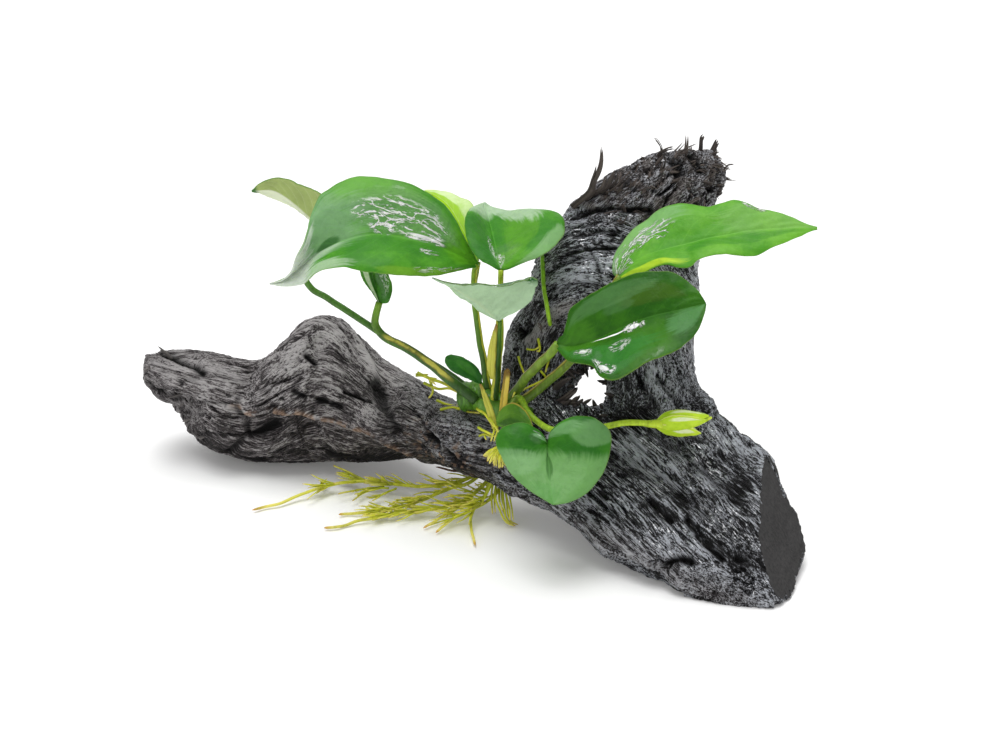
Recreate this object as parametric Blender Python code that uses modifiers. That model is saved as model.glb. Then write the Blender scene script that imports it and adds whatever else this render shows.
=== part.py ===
"""Anubias rooted on a forked piece of driftwood.

The wood lies on its underside and stands about as high as a hand. A thick limb runs to the left, a flat
slab slopes down to the right, and a broken upper limb rises behind on two legs. The plant's creeping stem
lies on the saddle between them, with its leaves above, its roots below and one leaf still rolled up.

X runs to the right, Y to the back and Z up. Points are in millimetres until they are placed.
"""

import math

import bmesh
import bpy
from mathutils import Vector, noise

MM = 0.001

# What brings the middle of the model's base to the origin, in millimetres
TO_BASE_CENTRE = Vector((2.55, -2.7, 0.0))

# Driving dimensions, in millimetres
LEAF_THICKNESS = 0.9
STALK_RADIUS = 1.25
ROOT_RADIUS = 0.75
CREEPING_STEM_RADIUS = 4.6
FIT_GAP = 0.3
WELD_DISTANCE = 0.01
CUTTER_SIZE = 400.0

# The wood's relief, in millimetres
LUMP_LENGTH = 16.0
LUMP_HEIGHT = 1.3
FURROW_LENGTH = 34.0
FURROW_WIDTH = 4.5
FURROW_DEPTH = 1.1
WOOD_CELL = 1.9

# How finely the shapes are made
WOOD_TRIANGLES = 3500
SECTION_SIDES = 20
LIMB_STEPS = 3
LUMP_OCTAVES = 3
HALF_BLADE_STEPS = 6
LARGE_BLADE_CELLS = (10, 4)
SMALL_BLADE_CELLS = (6, 4)

# Limbs of the driftwood. Each station is its centre, the vector from there to its upper or left edge,
# and half its thickness across that vector.
LEFT_LIMB = [
    ((-107, 44, 31), (0, 2, 5), 6),
    ((-101, 44, 28), (0, 2, 9), 11),
    ((-91, 44, 21), (0, 4, 15), 16),
    ((-80, 44, 17), (0, 4, 16), 19),
    ((-71, 44, 17), (0, 4, 17), 20),
    ((-61, 42, 23), (0, 4, 22), 21),
    ((-52, 42, 26), (0, 4, 24), 21),
    ((-43, 38, 24), (0, 5, 21), 19),
    ((-34, 33, 21), (0, 5, 16), 17),
    ((-23, 25, 22), (1, 5, 12), 15),
    ((-13, 17, 22), (1, 4, 9), 13),
    ((-4, 8, 24), (2, 4, 10), 12),
    ((8, 0, 24), (2, 5, 10), 11),
]
SLAB = [
    ((4, 2, 25), (2, 6, 11), 10),
    ((16, -4, 25), (4, 8, 12), 11),
    ((28, -7, 23), (6, 12, 11), 12),
    ((43, -12, 22), (9, 20, 15), 12),
    ((55, -18, 19), (13, 23, 14), 13),
    ((65, -26, 15), (13, 24, 12), 13),
    ((75, -31, 12), (12, 22, 10), 13),
    ((82, -36, 10), (10, 20, 9), 12),
    ((89, -41, 6), (9, 17, 6), 10),
    ((94, -45, 3), (7, 14, 3), 8),
]
TRUNK = [
    ((57, -2, 24), (-19, -4, 2), 16),
    ((56, 4, 34), (-15, -2, 1), 15),
    ((53, 10, 46), (-14, 0, 1), 15),
    ((46, 14, 57), (-21, -2, 1), 15),
    ((42, 17, 68), (-26, -2, 0), 15),
    ((43, 24, 78), (-25, -2, 1), 14),
    ((47, 29, 87), (-23, -3, 2), 12),
    ((53, 32, 96), (-21, -3, 2), 10),
    ((61, 36, 103), (-15, -2, 2), 8),
    ((65, 40, 108), (-10, -2, 0), 5),
]
LEG = [
    ((13, 10, 26), (-9, 2, 4), 9),
    ((16, 13, 37), (-10, 1, 3), 10),
    ((20, 16, 47), (-12, 0, 4), 11),
    ((25, 18, 57), (-13, 0, 4), 12),
    ((32, 20, 68), (-14, 0, 4), 12),
]
BACK_FOOT = [
    ((49, 4, 28), (-12, 0, 4), 12),
    ((52, 18, 16), (-13, 0, 4), 10),
    ((55, 30, 2), (-11, 0, 3), 8),
    ((56, 34, -4), (-9, 0, 2), 7),
]
LIMBS = [LEFT_LIMB, SLAB, TRUNK, LEG, BACK_FOOT]

# Hollows pressed into the wood: place, direction along it, half its length, half its width, depth
HOLLOWS = [
    ((-68, 24, 20), (12, 0, 3), 6.5, 2.6, 4.0),
    ((-55, 23, 20), (10, 0, -1), 2.5, 1.6, 2.5),
    ((-98, 32, 22), (2, 3, -8), 6.0, 3.0, 5.0),
    ((-96, 42, 37), (10, 0, 2), 6.0, 3.0, 3.0),
    ((-52, 34, 46), (8, 2, 2), 3.5, 2.0, 3.0),
    ((-30, 22, 33), (5, -2, -9), 6.0, 3.0, 3.5),
    ((56, -26, 21), (8, -8, -4), 5.0, 2.4, 3.5),
    ((66, -34, 16), (9, -10, -5), 6.0, 2.6, 3.5),
    ((80, -40, 11), (8, -8, -4), 4.5, 2.2, 3.0),
    ((57, -44, 6), (9, -4, -2), 5.5, 3.0, 5.0),
    ((73, -22, 24), (7, -6, -2), 3.5, 2.2, 3.0),
    ((34, 4, 74), (12, 2, 3), 9.0, 1.8, 3.5),
    ((40, 2, 64), (12, 0, -2), 9.0, 1.6, 2.5),
    ((56, 14, 96), (6, 3, 12), 8.0, 2.0, 3.0),
]


def place(point):
    """A point of the design, in metres, in the model's own frame."""
    return (Vector(point) + TO_BASE_CENTRE) * MM


def through(points, steps):
    """Points along a smooth curve through the given ones, with so many steps in each stretch."""
    knots = [Vector(p) for p in points]
    knots = [2 * knots[0] - knots[1]] + knots + [2 * knots[-1] - knots[-2]]
    path = []
    for before, start, end, after in zip(knots, knots[1:], knots[2:], knots[3:]):
        for step in range(steps):
            t = step / steps
            path.append(
                0.5
                * (
                    2 * start
                    + (end - before) * t
                    + (2 * before - 5 * start + 4 * end - after) * t**2
                    + (3 * start - before - 3 * end + after) * t**3
                )
            )
    path.append(knots[-2])
    return path


def finish(name, colour, roughness):
    """A plain material of one colour."""
    material = bpy.data.materials.new(name)
    material.use_nodes = True
    shader = material.node_tree.nodes["Principled BSDF"]
    shader.inputs["Base Color"].default_value = (*colour, 1.0)
    shader.inputs["Roughness"].default_value = roughness
    return material


def evaluated_copy(source, name):
    """A new mesh object with what the source looks like after its modifiers. The source is removed."""
    graph = bpy.context.evaluated_depsgraph_get()
    mesh = bpy.data.meshes.new_from_object(source.evaluated_get(graph))
    bpy.data.objects.remove(source)
    copy = bpy.data.objects.new(name, mesh)
    bpy.context.scene.collection.objects.link(copy)
    return copy


def add_limb(bm, stations):
    """Loft one limb as a closed body through its stations."""
    centres = through([s[0] for s in stations], LIMB_STEPS)
    reaches = through([s[1] for s in stations], LIMB_STEPS)
    depths = through([(s[2], 0, 0) for s in stations], LIMB_STEPS)
    rings = []
    for i, (centre, reach, depth) in enumerate(zip(centres, reaches, depths)):
        along = centres[min(i + 1, len(centres) - 1)] - centres[max(i - 1, 0)]
        across = along.cross(reach).normalized() * depth.x
        end = i in (0, len(centres) - 1)
        ring = bmesh.ops.create_circle(bm, cap_ends=end, segments=SECTION_SIDES, radius=1.0)["verts"]
        rings.append(list({e for v in ring for e in v.link_edges}))
        for v in ring:
            v.co = centre + reach * v.co.x + across * v.co.y
    for lower, upper in zip(rings, rings[1:]):
        bmesh.ops.bridge_loops(bm, edges=lower + upper)


def spine_frames(stations):
    """Places along a limb with the direction of its grain, for the furrows that follow it."""
    path = through([s[0] for s in stations], LIMB_STEPS)
    return [(p, (q - p).normalized()) for p, q in zip(path, path[1:])]


def furrow(point, frames):
    """Height of the grain's furrows at a point, longer along the nearest limb than across it."""
    near, along = min(frames, key=lambda f: (f[0] - point).length_squared)
    offset = point - near
    lengthwise = offset.dot(along)
    crosswise = offset - along * lengthwise
    pattern = crosswise / FURROW_WIDTH + (near + along * lengthwise) / FURROW_LENGTH
    return noise.noise(pattern)


def weather(mesh):
    """Give the wood its lumps, furrows and hollows."""
    bm = bmesh.new()
    bm.from_mesh(mesh)
    bm.normal_update()
    frames = [frame for limb in LIMBS for frame in spine_frames(limb)]
    moves = []
    for v in bm.verts:
        height = noise.fractal(v.co / LUMP_LENGTH, 0.9, 2.0, LUMP_OCTAVES) * LUMP_HEIGHT
        height += furrow(v.co, frames) * FURROW_DEPTH
        move = v.normal * height
        for centre, along, length, width, depth in HOLLOWS:
            offset = v.co - Vector(centre)
            lengthwise = offset.dot(Vector(along).normalized())
            crosswise = math.sqrt(max(0.0, offset.length_squared - lengthwise**2))
            reach = (lengthwise / length) ** 2 + (crosswise / (width + depth)) ** 2
            move -= v.normal * depth * math.exp(-1.6 * reach**2)
        moves.append(move)
    for v, move in zip(bm.verts, moves):
        v.co += move
    bm.to_mesh(mesh)
    bm.free()


def half_space(name, point, outward, cutters):
    """A big box with one face at the point. It cuts away what lies beyond that face."""
    outward = Vector(outward).normalized()
    bm = bmesh.new()
    bmesh.ops.create_cube(bm, size=CUTTER_SIZE)
    bmesh.ops.translate(bm, verts=bm.verts, vec=(0, 0, CUTTER_SIZE / 2))
    bmesh.ops.rotate(bm, verts=bm.verts, matrix=outward.to_track_quat("Z", "Y").to_matrix())
    bmesh.ops.translate(bm, verts=bm.verts, vec=point)
    for v in bm.verts:
        v.co = place(v.co)
    mesh = bpy.data.meshes.new(name)
    bm.to_mesh(mesh)
    bm.free()
    cutter = bpy.data.objects.new(name, mesh)
    cutter.hide_render = True
    cutter.display_type = "WIRE"
    cutters.objects.link(cutter)
    return cutter


def cut_away(wood, cutter):
    """Take a cutter's space out of a piece of wood. The weathered skin needs the manifold solver."""
    cut = wood.modifiers.new(cutter.name, "BOOLEAN")
    cut.operation = "DIFFERENCE"
    cut.solver = "MANIFOLD"
    cut.object = cutter


# Half-widths of a leaf from its stalk to its tip, as shares of its greatest half-width
OVAL = [
    (0, 0.06), (0.06, 0.42), (0.16, 0.76), (0.3, 0.97), (0.42, 1.0),
    (0.58, 0.92), (0.74, 0.7), (0.88, 0.38), (1, 0.05),
]
DRAWN_OUT = [
    (0, 0.06), (0.06, 0.46), (0.16, 0.82), (0.3, 1.0), (0.45, 0.99),
    (0.6, 0.86), (0.72, 0.58), (0.82, 0.28), (0.9, 0.13), (1, 0.04),
]
HEART = [
    (0, 0.08), (0.08, 0.7), (0.2, 0.95), (0.35, 1.0), (0.55, 0.88), (0.75, 0.6), (0.9, 0.28), (1, 0.05),
]

# Leaf blades. arch lifts the middle of the midrib and sway moves it to the right. fold is the angle in
# degrees at which the right and left halves leave the midrib, and curl is how far each turns on to its
# edge. lobe is how far the blade reaches back beside its stalk, and tip_curl how far the tip bends down.
LEAVES = {
    "leaf_broad_left": dict(
        base=(-2, 7, 83), tip=(-64, -7, 86), face=(0.0, -0.5, 0.87), width=(19, 17), arch=15, sway=7,
        fold=(16, 8), curl=(-20, -26), lobe=1, tip_curl=4, wave=(0.8, 1.5), outline=DRAWN_OUT,
    ),
    "leaf_back_left": dict(
        base=(-47, 22, 87), tip=(-71, 32, 99), face=(-0.35, 0.75, 0.5), width=(8, 8), arch=2, sway=0,
        fold=(20, 10), curl=(10, 10), lobe=1, tip_curl=0, wave=(0.4, 1.0), outline=OVAL,
    ),
    "leaf_folded": dict(
        base=(-32, 8, 71), tip=(-42, 28, 90), face=(0.6, -0.3, 0.72), width=(8, 8), arch=3, sway=0,
        fold=(38, 38), curl=(14, 14), lobe=1, tip_curl=2, wave=(0.4, 1.0), outline=OVAL,
    ),
    "leaf_back_middle": dict(
        base=(-1, 12, 81), tip=(-20, 35, 97), face=(-0.05, -0.45, 0.83), width=(8, 11), arch=2, sway=0,
        fold=(8, 8), curl=(-16, -16), lobe=1, tip_curl=3, wave=(0.4, 1.0), outline=OVAL,
    ),
    "leaf_upper_middle": dict(
        base=(6.3, -4, 88), tip=(17.3, 32, 88), face=(0.0, 0.05, 1.0), width=(15.5, 16), arch=10, sway=0,
        fold=(2, 12), curl=(-26, -20), lobe=2, tip_curl=5, wave=(1.0, 2.0), outline=OVAL,
    ),
    "leaf_lower_middle": dict(
        base=(6, -10, 73), tip=(-13, -31, 94), face=(-0.06, 0.6, 0.8), width=(8, 15.5), arch=0, sway=0,
        fold=(28, 12), curl=(0, 10), lobe=2, tip_curl=0, wave=(0.5, 2.0), outline=HEART,
    ),
    "leaf_round": dict(
        base=(24, -14, 66), tip=(67, -24, 84), face=(-0.38, -0.62, 0.68), width=(16, 16), arch=2, sway=0,
        fold=(14, 14), curl=(6, 8), lobe=2, tip_curl=2, wave=(0.8, 1.5), outline=OVAL,
    ),
    "leaf_long_right": dict(
        base=(43, -4, 86), tip=(102, 2, 97), face=(-0.17, -0.2, 0.96), width=(10.5, 13), arch=9, sway=0,
        fold=(-8, 12), curl=(-34, 4), lobe=3, tip_curl=3, wave=(1.4, 2.5), outline=OVAL,
    ),
    "leaf_heart": dict(
        base=(20, -31, 41), tip=(22, -50, 30), face=(0.05, -0.45, 0.88), width=(18, 18), arch=3, sway=0,
        fold=(4, 4), curl=(-24, -24), lobe=6, tip_curl=1, wave=(0.7, 1.5), outline=HEART,
    ),
    "leaf_small_dark": dict(
        base=(-1, -7, 49), tip=(-11, -6, 59), face=(0.25, -0.8, 0.5), width=(4.4, 4.4), arch=0, sway=0,
        fold=(10, 10), curl=(6, 6), lobe=0, tip_curl=0, wave=(0, 1), outline=OVAL,
    ),
    "leaf_tucked": dict(
        base=(7, -15, 40), tip=(18, -25, 40), face=(0.1, -0.3, 0.95), width=(4.5, 5), arch=2, sway=1,
        fold=(8, 12), curl=(-6, -14), lobe=1, tip_curl=1, wave=(0.3, 1), outline=OVAL,
    ),
}
SMALL_LEAVES = ("leaf_small_dark", "leaf_tucked")

# The papery sheaths that wrapped the leaves as they grew, still standing by their stalks
SHEATHS = {
    "sheath_upper": dict(
        base=(2.9, -10.2, 53), tip=(4.3, -10.9, 71), face=(-0.2, -1, 0), width=(1.4, 1.4), arch=1, sway=0,
        fold=(6, 6), curl=(10, 10), lobe=0, tip_curl=0, wave=(0, 1), outline=OVAL,
    ),
    "sheath_lower": dict(
        base=(3.4, -4.4, 37.6), tip=(0.4, -8.6, 51), face=(-0.2, -1, 0), width=(1.1, 1.1), arch=1, sway=0,
        fold=(6, 6), curl=(10, 10), lobe=0, tip_curl=0, wave=(0, 1), outline=OVAL,
    ),
}


def between(table, position):
    """The table's value at a position, read between its rows."""
    for (low, start), (high, end) in zip(table, table[1:]):
        if position <= high:
            share = (position - low) / (high - low)
            return start + (end - start) * share
    return table[-1][1]


def rib_point(leaf, along):
    """A point of a leaf's midrib."""
    base = Vector(leaf["base"])
    axis = Vector(leaf["tip"]) - base
    face = Vector(leaf["face"])
    face = (face - axis * face.dot(axis) / axis.length_squared).normalized()
    right = axis.normalized().cross(face)
    middle = 4 * along * (1 - along)
    return (
        base
        + axis * along
        + (face * leaf["arch"] + right * leaf["sway"]) * middle
        - face * leaf["tip_curl"] * along**4
    )


def blade_point(leaf, along, across):
    """A point of a blade's middle surface: along it from 0 to 1, and across it from -1, left, to 1."""
    rib = rib_point(leaf, along)
    onward = (rib_point(leaf, along + 0.02) - rib_point(leaf, along - 0.02)).normalized()
    face = Vector(leaf["face"])
    face = (face - onward * face.dot(onward)).normalized()
    right = onward.cross(face)
    side = 0 if across > 0 else 1
    reach = abs(across)
    width = leaf["width"][side] * between(leaf["outline"], along)
    fold = math.radians(leaf["fold"][side])
    curl = math.radians(leaf["curl"][side])
    outward = 0.0
    upward = 0.0
    for step in range(HALF_BLADE_STEPS):
        angle = fold + curl * reach * (step + 0.5) / HALF_BLADE_STEPS
        outward += math.cos(angle) * reach / HALF_BLADE_STEPS
        upward += math.sin(angle) * reach / HALF_BLADE_STEPS
    depth, count = leaf["wave"]
    middle = 4 * along * (1 - along)
    ripple = depth * reach**2 * math.sin(2 * math.pi * count * along + 1.3 * side) * middle
    back = leaf["lobe"] * reach**1.5 * (1 - along) ** 4 * min(1.0, along / 0.07)
    sign = 1 if across > 0 else -1
    return rib + right * sign * outward * width + face * (upward * width + ripple) - onward * back


def leaf_blade(name, leaf, parts, material, cells=SMALL_BLADE_CELLS):
    """One blade: an arched and folded grid, given its thickness."""
    rows, columns = cells
    bm = bmesh.new()
    bmesh.ops.create_grid(bm, x_segments=rows, y_segments=columns, size=1.0)
    for v in bm.verts:
        v.co = place(blade_point(leaf, (v.co.x + 1) / 2, -v.co.y))
    mesh = bpy.data.meshes.new(name)
    bm.to_mesh(mesh)
    bm.free()
    mesh.materials.append(material)
    blade = bpy.data.objects.new(name, mesh)
    thickness = blade.modifiers.new("thickness", "SOLIDIFY")
    thickness.thickness = LEAF_THICKNESS * MM
    thickness.offset = 0.0
    parts.objects.link(blade)


def tapered(path, radius, swell=1.0, taper=1.0):
    """Radii along a path: swollen at its foot and tapered towards its end."""
    shares = [i / (len(path) - 1) for i in range(len(path))]
    return [radius * (1 + (swell - 1) * math.exp(-5 * s)) * (1 + (taper - 1) * s) for s in shares]


def tube(name, path, radii, parts, material, sides=2):
    """A round tube along a path, as thick at each point as its radius there."""
    curve = bpy.data.curves.new(name, "CURVE")
    curve.dimensions = "3D"
    curve.bevel_depth = MM
    curve.bevel_resolution = sides
    curve.use_fill_caps = True
    spline = curve.splines.new("POLY")
    spline.points.add(len(path) - 1)
    for point, radius, knot in zip(path, radii, spline.points):
        knot.co = (*place(point), 1.0)
        knot.radius = radius
    if material:
        curve.materials.append(material)
    made = bpy.data.objects.new(name, curve)
    parts.objects.link(made)
    return made


# Leaf stalks, from the creeping stem to just short of their blades
STALKS = {
    "stalk_broad_left": [(1, 1, 46), (-1, 3, 57), (-2, 6, 70), (-1.9, 7, 81.9)],
    "stalk_back_left": [
        (-4, 6.5, 47), (-8, 7, 48.5), (-19, 10, 53), (-32, 14, 60),
        (-44, 18, 66), (-51, 21, 71), (-51, 22, 78), (-47.9, 22, 85.7),
    ],
    "stalk_folded": [
        (-3.4, -0.6, 46), (-9, 1, 48.5), (-19, 3, 54),
        (-28, 6, 60), (-32, 7, 64), (-32, 7.9, 70.5),
    ],
    "stalk_back_middle": [(3, 5.3, 45.2), (2, 8, 56), (0, 11, 68), (-0.9, 12, 80.2)],
    "stalk_upper_middle": [(6, 2, 45), (6, 0, 58), (6, -2, 72), (6.3, -3.9, 87.3)],
    "stalk_lower_middle": [(4, -3.4, 43.5), (5, -8, 58), (5.8, -9.8, 72.2)],
    "stalk_round": [(9.4, -3.2, 44), (15, -9, 54), (23.7, -13.8, 65.4)],
    "stalk_long_right": [
        (13.5, -3.5, 42.8), (20, -5, 49), (28, -7, 58), (34, -7, 68), (38, -6, 77), (42.6, -4.1, 85.3),
    ],
    "stalk_heart": [(8.8, -9.4, 35.7), (12.5, -19, 35.3), (17.6, -26, 37.3), (20, -30.4, 40)],
    "stalk_small_dark": [(0.6, -2.4, 43.4), (-0.1, -4.6, 45.2), (-0.9, -6.5, 47.9)],
}

# The stem that creeps along the wood, and what is left of a cut leaf
CREEPING_STEM = [(-5, 5, 41), (0, 3, 41), (7, -1, 39), (13, -5, 37)]
CUT_STUB = [(8.8, -6.4, 42.3), (9, -8, 48), (9, -8, 56)]
CUT_STUB_RADIUS = 1.7

# The leaf that is still rolled up on its stalk: places along it and the radius at each
NEW_LEAF = [
    ((12.2, -9.3, 38.2), 1.6),
    ((21, -22, 42), 1.3),
    ((30, -27, 44), 1.2),
    ((38, -28, 46), 1.2),
    ((48, -27, 46), 1.3),
    ((53, -27, 45.8), 1.9),
    ((57, -27, 45.6), 2.7),
    ((62, -27.4, 46.2), 2.8),
    ((67, -28, 47.4), 1.8),
    ((71, -28.6, 48.8), 0.4),
]

# Roots. Each node is a bunch of strands that meet.
ROOTS = {
    "roots_front": [
        [(5, -9, 36), (5, -14, 34), (5, -16, 29), (6, -15, 22), (5, -12, 15), (3, -6, 10)],
        [
            (5, -11, 15), (-2, 3, 9), (-12, 9, 6), (-22, 13, 4),
            (-35, 17, 2.5), (-47, 18, 2), (-57, 13, 1), (-73, 3, 1),
        ],
        [(4, -10, 14), (-9, 5, 6), (-24, 9, 2.5), (-35, 8, 1), (-45, -1, 1)],
        [(5, -11, 15), (-3, -1, 6), (-14, 3, 3), (-24, 3, 1.5), (-37, -4, 1), (-49, -9, 1)],
        [(4, -10, 14), (-3, -4, 4), (-10, -3, 1.5), (-18, -10, 1)],
        [(5, -11, 15), (-1, -6, 4), (-2, -12, 1.2), (-1, -21, 1)],
        [(5, -11, 16), (5, -5, 7), (7, -4, 3), (11, -8, 1)],
    ],
    "root_right": [
        [
            (19, 4, 88), (19, 3, 82), (19, 1, 76), (20, -1, 69),
            (18, 0, 62), (18, 0, 54), (19, -1, 46), (16.2, -3.2, 41.2),
        ],
    ],
    "roots_back_left": [
        [(-5, 8, 40), (-10, 12, 39), (-14, 14, 37), (-18, 16, 42), (-21, 17, 43)],
        [(-12, 13, 38), (-16, 14, 37.5), (-19, 16, 36)],
    ],
}

# Splinters left standing on the torn top of the upper limb: foot, tip and the radius at the foot
SPLINTERS = [
    ((34, 24, 92), (36, 20, 117), 1.5),
    ((38, 25, 93), (40, 21, 112), 1.3),
    ((55, 33, 100), (54, 35, 113), 0.9),
    ((67, 39, 100), (69, 41, 112), 1.5),
    ((69, 39, 98), (75, 41, 110), 1.4),
]


def welded_copy(curve_tube, name):
    """A tube as a mesh with its caps joined on, in place of the curve."""
    solid = evaluated_copy(curve_tube, name)
    bm = bmesh.new()
    bm.from_mesh(solid.data)
    bmesh.ops.remove_doubles(bm, verts=bm.verts, dist=WELD_DISTANCE * MM)
    bm.to_mesh(solid.data)
    bm.free()
    return solid


def make_cutter(tool, cutters):
    """Keep an object only for what it cuts or joins."""
    tool.hide_render = True
    tool.display_type = "WIRE"
    for holder in list(tool.users_collection):
        holder.objects.unlink(tool)
    cutters.objects.link(tool)
    return tool


def join_on(piece, tool, cutters):
    """Join a tube to a piece, as one body."""
    union = piece.modifiers.new("join", "BOOLEAN")
    union.operation = "UNION"
    union.solver = "MANIFOLD"
    union.object = make_cutter(tool, cutters)


def fused_roots(name, strands, parts, cutters, material):
    """Strands of root joined in one body."""
    solids = []
    for points in strands:
        path = through(points, 2)
        strand = tube(name, path, tapered(path, ROOT_RADIUS, taper=0.6), parts, material, sides=1)
        solids.append(welded_copy(strand, name + "_strand"))
    bunch = solids[0]
    bunch.name = name
    parts.objects.link(bunch)
    bpy.context.scene.collection.objects.unlink(bunch)
    for strand in solids[1:]:
        join_on(bunch, strand, cutters)


# The planes that the driftwood is parted on, at its two forks and where it rests
LEFT_FORK = Vector((9, 0, 26))
LEFT_FORK_FACING = Vector((1.0, -0.15, 0.05)).normalized()
UPPER_FORK = Vector((40, 0, 41))
UPPER_FORK_FACING = Vector((-0.05, -0.1, 1.0)).normalized()
SAWN_END = Vector((86.5, -30, 17))
SAWN_END_FACING = Vector((0.63, -0.36, 0.69))


def driftwood(parts, cutters):
    """The wood, in three pieces: the left limb, the slab with its back foot, and the upper limb."""
    bm = bmesh.new()
    for limb in LIMBS:
        add_limb(bm, limb)
    bmesh.ops.recalc_face_normals(bm, faces=bm.faces)
    mesh = bpy.data.meshes.new("rough_wood")
    bm.to_mesh(mesh)
    bm.free()
    rough = bpy.data.objects.new("rough_wood", mesh)
    bpy.context.scene.collection.objects.link(rough)
    skin = rough.modifiers.new("one skin", "REMESH")
    skin.mode = "VOXEL"
    skin.voxel_size = WOOD_CELL
    skinned = evaluated_copy(rough, "skinned_wood")
    weather(skinned.data)
    for v in skinned.data.vertices:
        v.co = place(v.co)
    fewer = skinned.modifiers.new("fewer faces", "DECIMATE")
    fewer.ratio = WOOD_TRIANGLES / (2 * len(skinned.data.polygons))
    whole = evaluated_copy(skinned, "whole_wood")

    half_gap = FIT_GAP / 2
    ground = half_space("ground_cut", (0, 0, 0), (0, 0, -1), cutters)
    saw = half_space("saw_cut", SAWN_END, SAWN_END_FACING, cutters)
    left_of = half_space("left_limb_cut", LEFT_FORK - LEFT_FORK_FACING * half_gap, LEFT_FORK_FACING, cutters)
    right_of = half_space("slab_cut", LEFT_FORK + LEFT_FORK_FACING * half_gap, -LEFT_FORK_FACING, cutters)
    below = half_space("lower_cut", UPPER_FORK - UPPER_FORK_FACING * half_gap, UPPER_FORK_FACING, cutters)
    above = half_space("upper_cut", UPPER_FORK + UPPER_FORK_FACING * half_gap, -UPPER_FORK_FACING, cutters)
    seat_path = through(CREEPING_STEM, 2)
    seat_path[0] += (seat_path[0] - seat_path[1]).normalized() * FIT_GAP
    seat_path[-1] += (seat_path[-1] - seat_path[-2]).normalized() * FIT_GAP
    seat_radii = tapered(seat_path, CREEPING_STEM_RADIUS + FIT_GAP)
    seat = tube("stem_seat", seat_path, seat_radii, parts, None)
    seat = make_cutter(welded_copy(seat, "stem_seat"), cutters)
    cuts = {
        "driftwood_left_limb": [seat, ground, left_of],
        "driftwood_slab": [seat, ground, saw, right_of, below],
        "driftwood_upper_limb": [above, right_of],
    }
    dry = finish("dry_wood", (0.20, 0.16, 0.13), 0.85)
    wet = finish("wet_wood", (0.02, 0.018, 0.018), 0.3)
    for name, cutting in cuts.items():
        piece = bpy.data.objects.new(name, whole.data.copy())
        piece.data.materials.append(dry if name == "driftwood_left_limb" else wet)
        for cutter in cutting:
            cut_away(piece, cutter)
        parts.objects.link(piece)
    for foot, tip, radius in SPLINTERS:
        path = [Vector(foot), Vector(foot).lerp(Vector(tip), 0.5), Vector(tip)]
        splinter = tube("splinter", path, tapered(path, radius, taper=0.2), parts, None, sides=1)
        join_on(piece, welded_copy(splinter, "splinter"), cutters)
    bpy.data.objects.remove(whole)


def plant(parts, cutters):
    """The creeping stem, the leaves with their stalks, the new leaf, the cut stub and the roots."""
    leaf_green = finish("leaf_green", (0.035, 0.085, 0.018), 0.25)
    stalk_green = finish("stalk_green", (0.22, 0.27, 0.05), 0.4)
    root_green = finish("root_green", (0.33, 0.34, 0.06), 0.45)
    for name, leaf in LEAVES.items():
        cells = SMALL_BLADE_CELLS if name in SMALL_LEAVES else LARGE_BLADE_CELLS
        leaf_blade(name, leaf, parts, leaf_green, cells)
    for name, sheath in SHEATHS.items():
        leaf_blade(name, sheath, parts, stalk_green)
    for name, points in STALKS.items():
        path = through(points, 2)
        tube(name, path, tapered(path, STALK_RADIUS, swell=1.3), parts, stalk_green)
    creeping = through(CREEPING_STEM, 2)
    tube("creeping_stem", creeping, tapered(creeping, CREEPING_STEM_RADIUS), parts, stalk_green)
    stub = through(CUT_STUB, 2)
    tube("cut_stub", stub, tapered(stub, CUT_STUB_RADIUS), parts, stalk_green)
    rolled = through([point for point, radius in NEW_LEAF], 2)
    rolled_radii = through([(radius, 0, 0) for point, radius in NEW_LEAF], 2)
    tube("new_leaf", rolled, [radius.x for radius in rolled_radii], parts, stalk_green)
    for name, strands in ROOTS.items():
        fused_roots(name, strands, parts, cutters, root_green)


def main():
    for old in list(bpy.data.objects):
        bpy.data.objects.remove(old)
    parts = bpy.data.collections.new("anubias on driftwood")
    cutters = bpy.data.collections.new("cutters")
    bpy.context.scene.collection.children.link(parts)
    bpy.context.scene.collection.children.link(cutters)
    driftwood(parts, cutters)
    plant(parts, cutters)


main()
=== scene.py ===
"""Looks of the anubias on driftwood: its grooved wood, waxy leaves, stalks, sheaths and roots.

The wood and the leaves follow the same tables as the construction, in millimetres in its design frame, and
are made finer here. X runs to the right, Y to the back and Z up.
"""

import math
import random
from itertools import product

import bmesh
import bpy
import numpy as np
from mathutils import Matrix, Quaternion, Vector, noise


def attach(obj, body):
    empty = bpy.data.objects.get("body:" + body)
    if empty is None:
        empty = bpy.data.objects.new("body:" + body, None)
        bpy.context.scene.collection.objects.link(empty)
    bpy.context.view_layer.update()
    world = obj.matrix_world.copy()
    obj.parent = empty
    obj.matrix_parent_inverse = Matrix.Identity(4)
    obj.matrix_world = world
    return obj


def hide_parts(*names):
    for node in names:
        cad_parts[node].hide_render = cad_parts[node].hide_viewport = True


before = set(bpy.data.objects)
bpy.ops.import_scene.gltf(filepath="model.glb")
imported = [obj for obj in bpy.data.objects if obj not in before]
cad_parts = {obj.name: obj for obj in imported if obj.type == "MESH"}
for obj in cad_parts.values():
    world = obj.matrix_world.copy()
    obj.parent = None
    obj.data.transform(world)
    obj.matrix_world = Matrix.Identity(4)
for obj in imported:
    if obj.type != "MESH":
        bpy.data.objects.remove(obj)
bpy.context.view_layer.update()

MM = 0.001
TO_BASE_CENTRE = Vector((2.55, -2.7, 0.0))

# Sizes, in millimetres
BLADE_THICKNESS = 0.42
CREEPING_STEM_RADIUS = 4.6

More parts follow.
